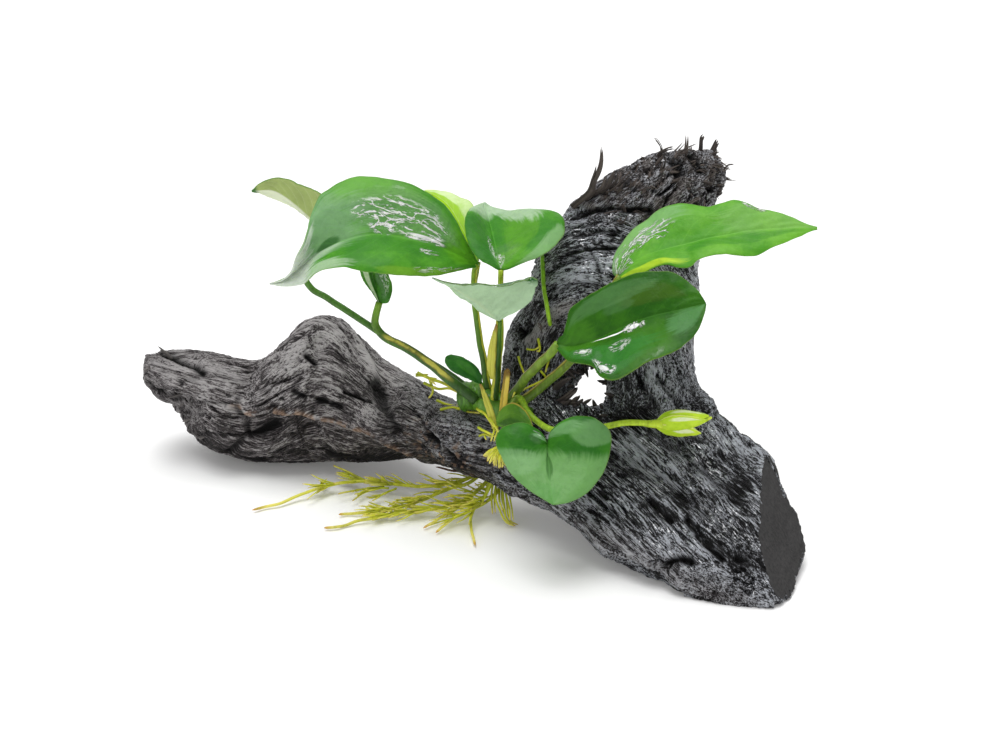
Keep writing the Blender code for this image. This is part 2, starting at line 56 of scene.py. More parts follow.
# The wood's shape and relief, in millimetres
SECTION_SIDES = 20
LIMB_STEPS = 3
WOOD_CELL = 1.9
LUMP_LENGTH = 16.0
LUMP_HEIGHT = 1.3
LUMP_OCTAVES = 3
FURROW_LENGTH = 34.0
FURROW_WIDTH = 4.5
FURROW_DEPTH = 0.6
LEFT_LIMB_GIRTH = 17.0
LEFT_END_JUT = 3.2

# Limbs of the driftwood. Each station is its centre, the vector from there to its upper or left edge,
# and half its thickness across that vector.
LEFT_LIMB = [
    ((-107, 44, 31), (0, 2, 5), 6),
    ((-101, 44, 28), (0, 2, 9), 11),
    ((-91, 44, 21), (0, 4, 15), 16),
    ((-80, 44, 17), (0, 4, 16), 19),
    ((-71, 44, 17), (0, 4, 17), 20),
    ((-61, 42, 23), (0, 4, 22), 21),
    ((-52, 42, 26), (0, 4, 24), 21),
    ((-43, 38, 24), (0, 5, 21), 19),
    ((-34, 33, 21), (0, 5, 16), 17),
    ((-23, 25, 22), (1, 5, 12), 15),
    ((-13, 17, 22), (1, 4, 9), 13),
    ((-4, 8, 24), (2, 4, 10), 12),
    ((8, 0, 24), (2, 5, 10), 11),
]
SLAB = [
    ((4, 2, 25), (2, 6, 11), 10),
    ((16, -4, 25), (4, 8, 12), 11),
    ((28, -7, 23), (6, 12, 11), 12),
    ((43, -12, 22), (9, 20, 15), 12),
    ((55, -18, 19), (13, 23, 14), 13),
    ((65, -26, 15), (13, 24, 12), 13),
    ((75, -31, 12), (12, 22, 10), 13),
    ((82, -36, 10), (10, 20, 9), 12),
    ((89, -41, 6), (9, 17, 6), 10),
    ((94, -45, 3), (7, 14, 3), 8),
]
TRUNK = [
    ((57, -2, 24), (-19, -4, 2), 16),
    ((56, 4, 34), (-15, -2, 1), 15),
    ((53, 10, 46), (-14, 0, 1), 15),
    ((46, 14, 57), (-21, -2, 1), 15),
    ((42, 17, 68), (-26, -2, 0), 15),
    ((43, 24, 78), (-25, -2, 1), 14),
    ((47, 29, 87), (-23, -3, 2), 12),
    ((53, 32, 96), (-21, -3, 2), 10),
    ((61, 36, 103), (-15, -2, 2), 8),
    ((65, 40, 108), (-10, -2, 0), 5),
]
LEG = [
    ((13, 10, 26), (-9, 2, 4), 9),
    ((16, 13, 37), (-10, 1, 3), 10),
    ((20, 16, 47), (-12, 0, 4), 11),
    ((25, 18, 57), (-13, 0, 4), 12),
    ((32, 20, 68), (-14, 0, 4), 12),
]
BACK_FOOT = [
    ((49, 4, 28), (-12, 0, 4), 12),
    ((52, 18, 16), (-13, 0, 4), 10),
    ((55, 30, 2), (-11, 0, 3), 8),
    ((56, 34, -4), (-9, 0, 2), 7),
]
LIMBS = [LEFT_LIMB, SLAB, TRUNK, LEG, BACK_FOOT]

# Hollows pressed into the wood: place, direction along it, half its length, half its width, depth
HOLLOWS = [
    ((-68, 24, 20), (12, 0, 3), 6.5, 2.6, 2.0),
    ((-55, 23, 20), (10, 0, -1), 2.5, 1.6, 2.5),
    ((-98, 32, 22), (2, 3, -8), 6.0, 3.0, 5.0),
    ((-96, 42, 37), (10, 0, 2), 6.0, 3.0, 3.0),
    ((-52, 34, 46), (8, 2, 2), 3.5, 2.0, 3.0),
    ((-30, 22, 33), (5, -2, -9), 6.0, 3.0, 3.5),
    ((56, -26, 21), (8, -8, -4), 5.0, 2.4, 3.5),
    ((66, -34, 16), (9, -10, -5), 6.0, 2.6, 3.5),
    ((80, -40, 11), (8, -8, -4), 4.5, 2.2, 3.0),
    ((57, -44, 6), (9, -4, -2), 5.5, 3.0, 5.0),
    ((47, -47, 2), (12, -8, 0), 13.0, 3.0, 5.5),
    ((73, -22, 24), (7, -6, -2), 3.5, 2.2, 3.0),
    ((34, 4, 74), (12, 2, 3), 9.0, 1.8, 3.5),
    ((40, 2, 64), (12, 0, -2), 9.0, 1.6, 2.5),
    ((56, 14, 96), (6, 3, 12), 8.0, 2.0, 3.0),
]

# The planes that the driftwood is parted on, at its two forks, and its sawn end
LEFT_FORK = Vector((9, 0, 26))
LEFT_FORK_FACING = Vector((1.0, -0.15, 0.05)).normalized()
UPPER_FORK = Vector((40, 0, 41))
UPPER_FORK_FACING = Vector((-0.05, -0.1, 1.0)).normalized()
SAWN_END = Vector((84.4, -43.5, 18.5))
SAWN_END_FACING = Vector((0.743, -0.343, 0.574)).normalized()

# Sharp marks in the skin: the line they follow, half their width, and how deep they are. A raised line
# has a negative depth.
MARKS = [
    ([(-75, 25.4, 15.2), (-70.8, 25.2, 17.3), (-66.5, 25, 19.8)], 1.5, 2.8),
    ([(-61, 22.8, 17), (-57, 23.7, 17)], 0.6, 1.6),
    ([(-76, 26, 20), (-75.2, 24.2, 16.7), (-79.5, 27, 11.7), (-82.9, 33, 6.5)], 1.1, 1.7),
    ([(-78.4, 29.6, 27.7), (-79, 27.6, 26.2), (-77.7, 26.7, 23.4), (-75.5, 25.9, 21.3)], 0.9, 1.2),
    ([(-98.4, 38.8, 23.4), (-89.2, 29.8, 26.2), (-80.3, 27.9, 26.4)], 0.6, 0.8),
    ([(-96.8, 37.2, 19), (-87.6, 27.8, 22.1), (-79, 26.5, 22)], 0.5, 1.2),
    ([(-89.6, 29.2, 15.7), (-81.8, 25.3, 16.1)], 0.6, 1.4),
    ([(-94.1, 33.2, 32.5), (-86.1, 34.3, 33.4), (-76.5, 34.7, 31), (-67.6, 25.3, 32.6)], 0.8, 0.6),
    ([(-75.2, 39, 32.6), (-66.1, 29.1, 38.6), (-57.9, 28.2, 41.9), (-48.5, 32.5, 42.7)], 0.8, 0.35),
    ([(-70.3, 27.7, 34.3), (-61, 25, 36.3), (-51.4, 24.4, 35.1), (-41.8, 22.7, 33.1)], 0.7, 0.45),
    ([(-56, 29, 43), (-53, 28, 41)], 1.1, 2.2),
    ([(-59.7, 22.9, 33), (-56.2, 22.5, 31.4)], 0.9, 1.9),
    ([(-52.1, 22.5, 30.4), (-49.9, 22, 29.9)], 1.0, 2.2),
    ([(-47.9, 21.3, 29.5), (-45, 21, 28.6)], 1.0, 1.8),
    ([(-42.2, 43, 44.4), (-38.6, 39.8, 40.1), (-35.1, 33.4, 36.6), (-33.7, 27.9, 34.2)], 1.3, -1.4),
    ([(-33.7, 27.9, 34.2), (-31.4, 25.1, 30.2), (-29.7, 15.4, 30.6), (-26.5, 10.2, 25)], 1.5, 2.0),
    ([(-103.5, 46.6, 36.3), (-98.4, 44.3, 35.2), (-93, 39, 34.8), (-90, 35, 34.5)], 1.3, 2.4),
    ([(-33, 26, 33.5), (-30, 18, 29), (-27, 10, 25)], 2.6, 1.5),
    ([(-43.4, 22.4, 33.3), (-38.6, 22, 31.4), (-34.7, 21, 30.5)], 0.7, 2.0),
    ([(-105.3, 39, 28), (-102.7, 38.2, 25.8), (-98, 33, 25)], 1.4, 3.0),
    ([(-16.5, 5.1, 26.1), (-13.9, 2, 24.8)], 1.5, 3.0),
    ([(-10.7, -1.7, 23.8), (-7.9, -3.3, 21.8)], 1.0, 2.2),
    ([(-20.5, 9.5, 21.5), (-17, 5.5, 20.4)], 0.9, 1.6),
    ([(51.7, -33.2, 23.3), (54.6, -36.6, 21.7), (57.8, -40.1, 20.1)], 0.9, 3.4),
    ([(62.6, -41, 20.6), (64, -43.6, 19.3)], 1.2, 2.6),
    ([(65.3, -45, 18.3), (68.8, -48.6, 16.2), (72.5, -52.3, 13.7)], 1.2, 3.8),
    ([(76, -33.1, 24.3), (78.4, -34.6, 22), (80.5, -35.4, 19.7)], 0.6, 1.8),
    ([(77.5, -51.5, 13), (80.5, -50.5, 11.8)], 1.5, 3.2),
    ([(82, -52, 9.6), (85.8, -50.5, 7)], 1.2, 2.8),
    ([(36.7, -27.8, 23.3), (38.5, -29.9, 22.3)], 0.9, 2.2),
    ([(42.3, -25.1, 28), (44.1, -25.6, 27.6)], 0.7, 1.4),
    ([(55.8, -48.9, 8.5), (57.9, -48.7, 11.1), (60.5, -49.3, 11.8), (63.1, -50.8, 11.6)], 1.1, 3.2),
    ([(39.3, -19.6, 30.8), (49, -23.8, 28.7), (58.4, -31.3, 26.4), (66.6, -37.1, 23.7), (79.8, -47, 14.3)],
     2.6, 1.4),
    ([(51, -9.5, 38.8), (60, -16.2, 33.5), (68.9, -23.7, 28.7), (77.6, -32.4, 23.9), (82.7, -35.4, 17.6)],
     3.4, 1.6),
    ([(46.2, -15.2, 34.7), (55.2, -20.5, 32.2), (64.2, -25.4, 29.5), (73, -34, 25)], 3.0, -1.2),
    ([(28.6, 23, 93), (34.2, 22.2, 95.2), (40.3, 21.2, 96.9), (46.5, 20.8, 96.4), (52.7, 21.7, 96)],
     0.9, 2.8),
    ([(26.7, 14.2, 84.4), (34, 13.7, 86.2), (41.7, 12.6, 87)], 0.7, 2.0),
    ([(34, 13.5, 86), (36.1, 9.7, 82.9), (37, 7.6, 80.1)], 0.5, 1.2),
    ([(29.5, 18, 88.9), (37.2, 17.1, 90.9), (43.3, 16.1, 90.9)], 0.6, 1.5),
    ([(21.8, 24.2, 85), (28, 20.4, 90.5), (37.2, 19, 93.1), (49.6, 19.7, 92.8)], 0.6, 1.0),
    ([(15.6, 19.5, 66.6), (20.2, 13.6, 77.6), (26.3, 12.4, 82.5), (34, 11.4, 84.2)], 0.7, 1.0),
    ([(10.9, 11.1, 54.9), (15.6, 11.4, 62.6), (21.1, 8.7, 71.3), (27.8, 7.6, 76.8)], 0.7, 1.1),
    ([(55.6, -4.8, 50.2), (60.3, -6.1, 44), (65.1, -7, 37.6), (67.8, -13.7, 34)], 0.9, 1.2),
    ([(49.5, -3.6, 48), (54.1, -7.4, 42.9), (59.2, -12, 37.3)], 0.9, 1.4),
    ([(25, 5.6, 38.4), (31.1, -2.6, 37.2), (40.4, -4.3, 38), (49.5, -9.1, 38.6)], 1.0, 1.5),
    ([(15.6, 7.9, 58), (20.2, 7.6, 63.3), (24.8, 5.1, 69.5), (27.8, 5.2, 70.8)], 1.7, -1.3),
    ([(22.5, 1, 40), (27, 0, 40.2), (31, -1, 38.5)], 3.0, -3.2),
    ([(40, 2, 50), (41, 0, 46), (40.5, -1, 42)], 2.0, 1.3),
    ([(13.1, 10.9, 58.4), (15.6, 9.5, 60.7)], 1.2, 1.8),
    ([(65.5, 34.4, 109.4), (68.6, 31.3, 105.6)], 1.4, 2.6),
    ([(59.2, 31.9, 108.7), (62.2, 29.3, 105.7)], 1.5, 2.8),
    ([(69, 1, 37.5), (73, -4, 34), (78, -8, 30.5), (84, -11, 27.5), (88, -18, 26)], 5.5, -4.5),
    ([(91, -50, 4), (95, -47, 7)], 4.5, -3.0),
    ([(52, 30, 106), (54, 27.5, 103.5)], 1.2, 2.2),
]
# The edge of a ledge along the front of the left limb. The skin below it is hollow.
LEDGE = [
    (-79, 27.6, 26.2), (-76, 26, 23.5), (-68, 24.5, 26), (-60, 21.5, 26.3), (-52, 21, 24), (-43.5, 20, 22.8),
    (-35, 14, 22), (-27, 12.4, 18.6), (-19, 12.3, 14.7),
]
# Lines in the skin that have a look of their own
RED_BROWN_PATCH = [(-17.5, 6.5, 22.2), (-12.7, 1.6, 21.2), (-7, -3, 21.5)]
# Places with painted light and highlights, or painted shade: the line each follows, half its width, and
# how much lighter it is. A place of painted shade has a negative share.
PAINTED_LIGHT_AND_SHADE = [
    ([(-52, 38, 47.5), (-56, 34, 45), (-59, 31, 42)], 4.8, 1.3), ([(-104, 43, 32), (-92, 38, 33)], 7.0, 1.7),
    ([(-42, 33, 42), (-37, 27, 36)], 2.2, 0.8), ([(-98, 37, 24), (-80, 28, 28)], 6.0, 1.3),
    ([(37, -33, 22), (54, -43, 9)], 6.5, 0.7), ([(43, -12, 35), (52, -19, 27)], 5.0, 1.3),
    ([(55, -25, 28), (68, -33, 21.7)], 4.5, 1.1), ([(78, -12, 29), (88, -22, 24.5)], 3.5, 1.2),
    ([(54, -6, 51), (66, -10, 42)], 6.0, 1.0),
    ([(20, 3, 37), (30, -1, 36), (41, -4, 38), (47, -6, 45), (45, -4, 54)], 5.5, -1.6),
    ([(-49, 25, 10.5), (-36, 24.5, 7.8), (-27, 22, 8)], 2.6, -3.4),
    ([(24, 8, 78), (36, 8, 84), (46, 9, 82)], 5.0, 0.9),
]
# More such lines: a ridge painted light as a highlight, the knot above the hole, and the slab's lower rim
PAINTED_RIDGE_HIGHLIGHT = [(-42.2, 43, 44.4), (-38.6, 39.8, 40.1), (-35.1, 33.4, 36.6), (-33.7, 27.9, 34.2)]
KNOT = [(15.6, 7.9, 58), (20.2, 7.6, 63.3), (24.8, 5.1, 69.5), (27.8, 5.2, 70.8)]
LOWER_RIM = [(6.2, -10, 15.8), (42.6, -41.7, 10), (54.3, -49.1, 7.2), (66.2, -53.7, 4.3), (77.9, -57.5, 1.6)]

# How the grain lies in each region of the wood: how far it is drawn out, its seed, and the heights of its
# swells, strands and hairs, and the depth of its cracks
GRAIN_STYLES = {
    "left": (11, 10, 0.40, 0.15, 0.13, 1.1),
    "slab": (12, 20, 0.50, 0.46, 0.40, 2.0),
    "foot": (9, 30, 0.4, 0.3, 0.2, 1.2),
    "arch": (15, 40, 0.28, 0.34, 0.30, 2.2),
    "top": (9, 50, 1.0, 0.6, 0.4, 2.2),
}

# Directions of the grain: along the slab, down the back foot, at the torn top, and round the arch over the
# two legs. The arch is taller than it is wide.
SLAB_GRAIN = np.array((0.64, -0.69, -0.33))
SLAB_ACROSS = np.array((0.74, 0.66, 0.06))
FOOT_GRAIN = np.array((0.07, 0.63, -0.77))
TORN_GRAIN = np.array((0.72, 0.12, 0.68))
ARCH_CENTRE = (34.0, 45.0)
ARCH_RADIUS = 40.0
ARCH_NARROWING = 1.5

# Torn fibres: where they stand, how far from there, the way they point, how many, and their length
FRAYED = [
    ((60, 33, 107), 13, (0.8, 0.1, 0.5), 110, 4.6),
    ((50, 28, 103), 10, (0.6, 0.0, 0.6), 50, 4.2),
    ((42, 24, 100), 9, (0.4, 0.0, 0.7), 34, 3.8),
    ((76, 37, 101), 10, (0.9, 0.0, 0.4), 80, 3.4),
    ((66, 30, 102), 10, (0.7, -0.3, -0.2), 60, 4.5),
    ((46, 18, 97), 10, (0.9, -0.2, 0.3), 40, 5.0),
    ((-105, 43, 33), 6, (-0.6, 0.0, 0.8), 12, 2.0),
    ((-98, 36, 17), 9, (-0.9, -0.2, -0.2), 16, 1.8),
    ((88, -48, 4), 9, (0.5, -0.5, -0.4), 16, 1.4),
    ((21, 6, 66), 8, (0.5, -0.3, 0.6), 30, 2.6),
]
HOLE_CENTRE = (33.5, 2.0, 44.0)
HOLE_REACH = 9.5
HOLE_FIBRES = 34

# Splinters: the line each follows from its foot to its tip, and its radius
SPLINTERS = [
    ([(33, 26, 97), (34.3, 23, 101.5), (35.2, 20.8, 106), (36.8, 20, 111), (37.2, 20, 117)], 1.4),
    ([(29, 25, 95.5), (31.5, 24, 98.5), (34, 22.5, 102), (35.6, 21, 107), (36.4, 20.5, 111)], 1.7),
    ([(33, 26, 98), (35.5, 24, 101), (37.5, 22, 103.5), (38.5, 21, 107)], 1.4),
    ([(36, 27, 98), (38, 24.5, 101), (40, 22, 105), (42, 21.5, 109)], 1.4),
    ([(38, 27, 99), (40.5, 24.5, 102), (42.5, 22.5, 105), (43, 22, 107.5)], 1.0),
    ([(41, 27, 99), (43, 25, 103), (45, 24, 106), (47, 23.5, 108)], 0.7),
    ([(-101, 43, 35.5), (-103, 43, 37.8), (-104.6, 43, 39.2)], 1.1),
    ([(24, 4, 38), (27, 3, 40.5), (30, 3, 43)], 2.2), ([(27, 3, 36), (29, 2.5, 39), (31, 2, 41.5)], 2.2),
    ([(23, 5, 42), (25.5, 4, 45), (28, 3.5, 47)], 1.9), ([(29, 2, 36), (32, 2, 38.5), (34.5, 2, 40)], 1.6),
    ([(22, 4, 36), (25, 3, 38), (27.5, 3, 40)], 2.4), ([(24, 4, 34), (27, 3, 36), (30, 3, 38.5)], 2.4),
    ([(24, 3, 36.5), (27, 2.5, 38.6), (30.5, 2, 40.2)], 2.6),
    ([(26, 3, 35.5), (29, 2, 37.8), (32.5, 1.5, 39)], 2.2),
    ([(-100, 42, 28), (-103.5, 41, 27.2), (-105.6, 40.5, 26.6)], 1.0),
    ([(-96, 39, 25.5), (-99.5, 38, 24.6), (-101.8, 37.5, 24.2)], 1.1),
    ([(-91, 37, 18.5), (-95, 35.5, 17), (-97.4, 35, 16.2)], 1.2),
    ([(-87, 35.5, 13.5), (-90.5, 34.5, 12), (-92.4, 34, 11.2)], 1.3),
    ([(-80, 34, 10.8), (-84.5, 32.5, 9.8), (-87.5, 32, 9.2)], 1.3),
    ([(54.5, 33, 101), (56, 34, 106), (56.5, 35, 111), (54.8, 35, 114), (54, 35, 114.5)], 0.45),
    ([(54, 33, 105), (55.5, 34, 109.5), (58.5, 34.5, 111.5), (60.5, 35, 111.5)], 0.5),
    ([(52, 33, 104), (51.5, 34, 108), (50, 34, 109.5)], 0.4),
    ([(67, 39, 100), (68.5, 40, 107), (69, 40.5, 112), (69.8, 41, 113.5)], 1.2),
    ([(69, 39, 98), (71.5, 40, 105), (74, 41, 110), (74.8, 41, 112)], 1.1),
    ([(73, 38, 96), (75.5, 38, 101), (77.5, 38, 104.5), (79.5, 38, 105)], 0.7),
]


def place(point):
    """A point of the design, in metres, in the model's own frame."""
    return (Vector(point) + TO_BASE_CENTRE) * MM


def through(points, steps):
    """Points along a smooth curve through the given ones, with so many steps in each stretch."""
    knots = [Vector(p) for p in points]
    knots = [2 * knots[0] - knots[1]] + knots + [2 * knots[-1] - knots[-2]]
    path = []
    for before, start, end, after in zip(knots, knots[1:], knots[2:], knots[3:]):
        for step in range(steps):
            t = step / steps
            bend = (2 * before - 5 * start + 4 * end - after) * t**2
            twist = (3 * start - before - 3 * end + after) * t**3
            path.append(0.5 * (2 * start + (end - before) * t + bend + twist))
    path.append(knots[-2])
    return path


def smooth(low, high, value):
    """From 0 at low to 1 at high, eased at both ends."""
    t = np.clip((value - low) / (high - low), 0.0, 1.0)
    return t * t * (3 - 2 * t)


# Random slopes for the noise below
LATTICE = np.random.default_rng(11)
SLOPES = LATTICE.normal(size=(256, 3))
SLOPES /= np.linalg.norm(SLOPES, axis=1, keepdims=True)
SHUFFLE = LATTICE.permutation(256)


def rough(points, seed=0):
    """Smooth noise from about -1 to 1 at many points at once."""
    cell = np.floor(points).astype(int)
    inside = points - cell
    fade = inside**3 * (inside * (inside * 6 - 15) + 10)
    total = np.zeros(len(points))
    for corner in product((0, 1), repeat=3):
        at = cell + corner
        pick = SHUFFLE[(at[:, 0] + seed) & 255]
        pick = SHUFFLE[(pick + at[:, 1]) & 255]
        pick = SHUFFLE[(pick + at[:, 2]) & 255]
        share = np.prod(np.where(np.array(corner) == 1, fade, 1 - fade), axis=1)
        total += share * ((inside - corner) * SLOPES[pick]).sum(axis=1)
    return total * 1.5


def jitter(draw, size):
    """A small vector that points any way."""
    return Vector([draw.uniform(-size, size) for _ in range(3)])


def tinted(colour, share, lift=0.0):
    """A colour made darker or lighter by a share, and raised by a lift."""
    return tuple(min(1.0, c * share + lift) for c in colour)


def link(obj):
    bpy.context.scene.collection.objects.link(obj)
    return obj


def new_object(name, bm, *materials):
    """A new object with the shape of a bmesh, which is freed."""
    mesh = bpy.data.meshes.new(name)
    bm.to_mesh(mesh)
    bm.free()
    for material in materials:
        mesh.materials.append(material)
    return link(bpy.data.objects.new(name, mesh))


def evaluated_copy(source, name):
    """A new mesh object with what the source looks like after its modifiers. The source is removed."""
    graph = bpy.context.evaluated_depsgraph_get()
    mesh = bpy.data.meshes.new_from_object(source.evaluated_get(graph))
    bpy.data.objects.remove(source)
    return link(bpy.data.objects.new(name, mesh))


def finished(piece, slot, *nodes):
    """Put a piece on the root body and hide the parts it stands for. slot, the finish it takes, is not used.
    """
    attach(piece, "root")
    if nodes:
        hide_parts(*nodes)
    return piece


# Materials


class Shader:
    """A Principled material that is put together one node at a time."""

    def __init__(
        self, name, roughness=0.5, coat=0.0, coat_roughness=0.1, coat_ior=1.5, specular=0.5, softness=0.0
    ):
        self.material = bpy.data.materials.new(name)
        self.material.use_nodes = True
        self.tree = self.material.node_tree
        self.shader = self.tree.nodes["Principled BSDF"]
        self.put("Roughness", roughness)
        self.put("Coat Weight", coat)
        self.put("Coat Roughness", coat_roughness)
        self.put("Coat IOR", coat_ior)
        self.put("Specular IOR Level", specular)
        self.put("Subsurface Weight", softness)
        self.put("Subsurface Radius", (0.8, 1.0, 0.3))
        self.put("Subsurface Scale", 0.0012)

    def put(self, socket, value):
        """Set one of the shader's sockets, or link it to a node's output."""
        if hasattr(value, "is_output"):
            self.tree.links.new(value, self.shader.inputs[socket])
        else:
            self.shader.inputs[socket].default_value = value

    def node(self, kind, **settings):
        made = self.tree.nodes.new(kind)
        for key, value in settings.items():
            setattr(made, key, value)
        return made

    def feed(self, made, socket, value):
        if hasattr(value, "is_output"):
            self.tree.links.new(value, made.inputs[socket])
        else:
            made.inputs[socket].default_value = value

    def attribute(self, name, output="Fac"):
        return self.node("ShaderNodeAttribute", attribute_name=name).outputs[output]

    def uv(self):
        return self.node("ShaderNodeUVMap", uv_map="blade").outputs["UV"]

    def place(self):
        return self.node("ShaderNodeTexCoord").outputs["Object"]

    def noise(self, vector, scale, detail=4.0, roughness=0.55, warp=0.0):
        made = self.node("ShaderNodeTexNoise")
        sockets = ("Vector", "Scale", "Detail", "Roughness", "Distortion")
        for socket, value in zip(sockets, (vector, scale, detail, roughness, warp)):
            self.feed(made, socket, value)
        return made.outputs["Fac"]

    def stretch(self, vector, scale):
        made = self.node("ShaderNodeMapping")
        self.feed(made, "Vector", vector)
        self.feed(made, "Scale", scale)
        return made.outputs["Vector"]

    def ramp(self, value, *stops):
        """Colours or shades by value. Each stop is a position and a colour, or a shade from 0 to 1."""
        made = self.node("ShaderNodeValToRGB")
        self.feed(made, "Fac", value)
        elements = made.color_ramp.elements
        for i, (position, colour) in enumerate(stops):
            element = elements[i] if i < 2 else elements.new(position)
            element.position = position
            element.color = (*colour, 1.0) if isinstance(colour, tuple) else (colour, colour, colour, 1.0)
        return made.outputs["Color"]

    def mix(self, share, first, second, how="MIX"):
        made = self.node("ShaderNodeMix", data_type="RGBA", blend_type=how)
        for socket, value in ((0, share), (6, first), (7, second)):
            if isinstance(value, tuple):
                value = (*value, 1.0)
            self.feed(made, socket, value)
        return made.outputs[2]

    def calculate(self, operation, *values):
        made = self.node("ShaderNodeMath", operation=operation)
        for socket, value in enumerate(values):
            self.feed(made, socket, value)
        return made.outputs[0]

    def times(self, first, second):
        return self.calculate("MULTIPLY", first, second)

    def minus(self, first, second):
        return self.calculate("SUBTRACT", first, second)

    def scaled(self, value, factor, start):
        """The value times the factor, on top of the start."""
        return self.calculate("MULTIPLY_ADD", value, factor, start)

    def flipped(self, value):
        """1 where the value is 0, and 0 where it is 1."""
        return self.calculate("SUBTRACT", 1.0, value)

    def within(self, value, low, high):
        """0 below low, 1 above high and eased between."""
        made = self.node("ShaderNodeMapRange", interpolation_type="SMOOTHSTEP")
        for socket, given in enumerate((value, low, high)):
            self.feed(made, socket, given)
        return made.outputs[0]

    def ball(self, centre, sizes, ragged):
        """1 inside a ragged ball, drawn out to its half-sizes, and 0 outside. Both are in millimetres."""
        made = self.node("ShaderNodeVectorMath", operation="SUBTRACT")
        self.feed(made, 0, self.place())
        self.feed(made, 1, tuple(place(centre)))
        away = self.node("ShaderNodeVectorMath", operation="LENGTH")
        self.feed(away, 0, self.stretch(made.outputs[0], tuple(1 / (size * MM) for size in sizes)))
        return self.flipped(self.within(self.scaled(ragged, 0.2, away.outputs["Value"]), 0.84, 1.12))

    def bump(self, height, distance):
        made = self.node("ShaderNodeBump")
        self.feed(made, "Height", height)
        self.feed(made, "Distance", distance)
        self.feed(made, "Strength", 1.0)
        return made.outputs["Normal"]


def wood_finish():
    """Weathered wood. It is dry and grey, or wet and near black, by its wet attribute."""
    s = Shader("weathered wood", coat_roughness=0.15, coat_ior=2.1, specular=0.3)
    grain = s.attribute("grain", "Vector")
    here = s.place()
    fibres = s.noise(grain, 0.9, 6.0, 0.7, 0.2)
    threads = s.noise(grain, 3.0, 4.0, 0.65)
    grit = s.noise(here, 1900.0, 4.0, 0.7)
    patches = s.noise(here, 65.0, 4.0, 0.6)
    # The relief attribute brings painted light and shade into the tone: lighter crests, tops and edges,
    # darker cracks and hollows
    tone = s.scaled(s.attribute("relief"), 0.16, 0.5)
    for detail, share in ((fibres, 2.0), (threads, 2.5), (grit, 1.0), (patches, 0.8)):
        tone = s.scaled(s.minus(detail, 0.5), share, tone)
    dry = s.ramp(
        tone, (0.05, (0.006, 0.005, 0.005)), (0.34, (0.042, 0.036, 0.037)),
        (0.62, (0.158, 0.139, 0.142)), (0.95, (0.64, 0.61, 0.61)),
    )
    # The wet ramp's lightest stop is a bluish white: painted glints on the wet wood
    wet = s.ramp(
        tone, (0.18, (0.0020, 0.0018, 0.0022)), (0.48, (0.020, 0.0193, 0.0207)),
        (0.66, (0.135, 0.136, 0.148)), (0.86, (0.66, 0.69, 0.75)),
    )
    wetness = s.attribute("wet")
    # On the crests of wet patches: a coat of water, and colour painted bluish white as glints
    crests = s.within(s.scaled(threads, 1.4, grit), 1.25, 1.32)
    film_and_painted_glints = s.times(s.times(wetness, s.within(patches, 0.42, 0.55)), crests)
    colour = s.mix(wetness, dry, wet)
    colour = s.mix(s.times(film_and_painted_glints, 0.75), colour, (0.62, 0.66, 0.74))
    torn = s.ramp(threads, (0.38, (0.012, 0.0095, 0.009)), (0.62, (0.27, 0.23, 0.21)))
    colour = s.mix(s.attribute("torn"), colour, torn)
    ochre = s.ramp(threads, (0.35, (0.24, 0.14, 0.09)), (0.66, (0.72, 0.50, 0.36)))
    colour = s.mix(s.attribute("ochre"), colour, ochre)
    # Painted shade: the pits and cuts go near black
    colour = s.mix(s.attribute("deep"), colour, (0.0015, 0.0012, 0.0012))
    s.put("Base Color", colour)
    matt = s.scaled(wetness, -0.30, 0.74)
    s.put("Roughness", s.scaled(s.minus(patches, 0.5), 0.5, matt))
    s.put("Coat Weight", film_and_painted_glints)
    height = s.scaled(grit, 1.2, s.scaled(threads, 1.3, fibres))
    s.put("Normal", s.bump(height, 0.0012))
    return s.material


def sawn_wood():
    s = Shader("sawn end", specular=0.25)
    here = s.place()
    pores = s.noise(here, 900.0, 5.0, 0.7)
    bands = s.noise(s.stretch(here, (1.0, 0.15, 1.0)), 240.0, 3.0)
    tone = s.scaled(bands, 0.5, pores)
    s.put("Base Color", s.ramp(tone, (0.5, (0.015, 0.0145, 0.0145)), (1.0, (0.050, 0.048, 0.048))))
    s.put("Roughness", 0.7)
    s.put("Normal", s.bump(tone, 0.0003))
    return s.material


def fibre_finish(name, dark, light):
    """Loose fibres of broken wood, each of its own tone, lighter at their tips."""
    s = Shader(name, roughness=0.6, specular=0.3)
    lines = s.noise(s.place(), 1300.0, 3.0, 0.6)
    share = s.scaled(s.attribute("tone"), 0.75, s.times(s.attribute("along"), 0.25))
    s.put("Base Color", s.mix(s.scaled(lines, 0.3, share), dark, light))
    s.put("Normal", s.bump(lines, 0.0002))
    return s.material


# The driftwood


def add_limb(bm, stations):
    """Loft one limb as a closed body through its stations."""
    centres = through([s[0] for s in stations], LIMB_STEPS)
    reaches = through([s[1] for s in stations], LIMB_STEPS)
    depths = through([(s[2], 0, 0) for s in stations], LIMB_STEPS)
    rings = []
    for i, (centre, reach, depth) in enumerate(zip(centres, reaches, depths)):
        along = centres[min(i + 1, len(centres) - 1)] - centres[max(i - 1, 0)]
        across = along.cross(reach).normalized() * depth.x
        end = i in (0, len(centres) - 1)
        ring = bmesh.ops.create_circle(bm, cap_ends=end, segments=SECTION_SIDES, radius=1.0)["verts"]
        rings.append(list({e for v in ring for e in v.link_edges}))
        for v in ring:
            v.co = centre + reach * v.co.x + across * v.co.y
    for lower, upper in zip(rings, rings[1:]):
        bmesh.ops.bridge_loops(bm, edges=lower + upper)


def spine_frames(stations):
    """Places along a limb with the direction of its grain, for the furrows that follow it."""
    path = through([s[0] for s in stations], LIMB_STEPS)
    return [(p, (q - p).normalized()) for p, q in zip(path, path[1:])]


def furrow(point, frames):
    """Height of the grain's furrows at a point, longer along the nearest limb than across it."""
    near, along = min(frames, key=lambda f: (f[0] - point).length_squared)
    offset = point - near
    lengthwise = offset.dot(along)
    crosswise = offset - along * lengthwise
    return noise.noise(crosswise / FURROW_WIDTH + (near + along * lengthwise) / FURROW_LENGTH)


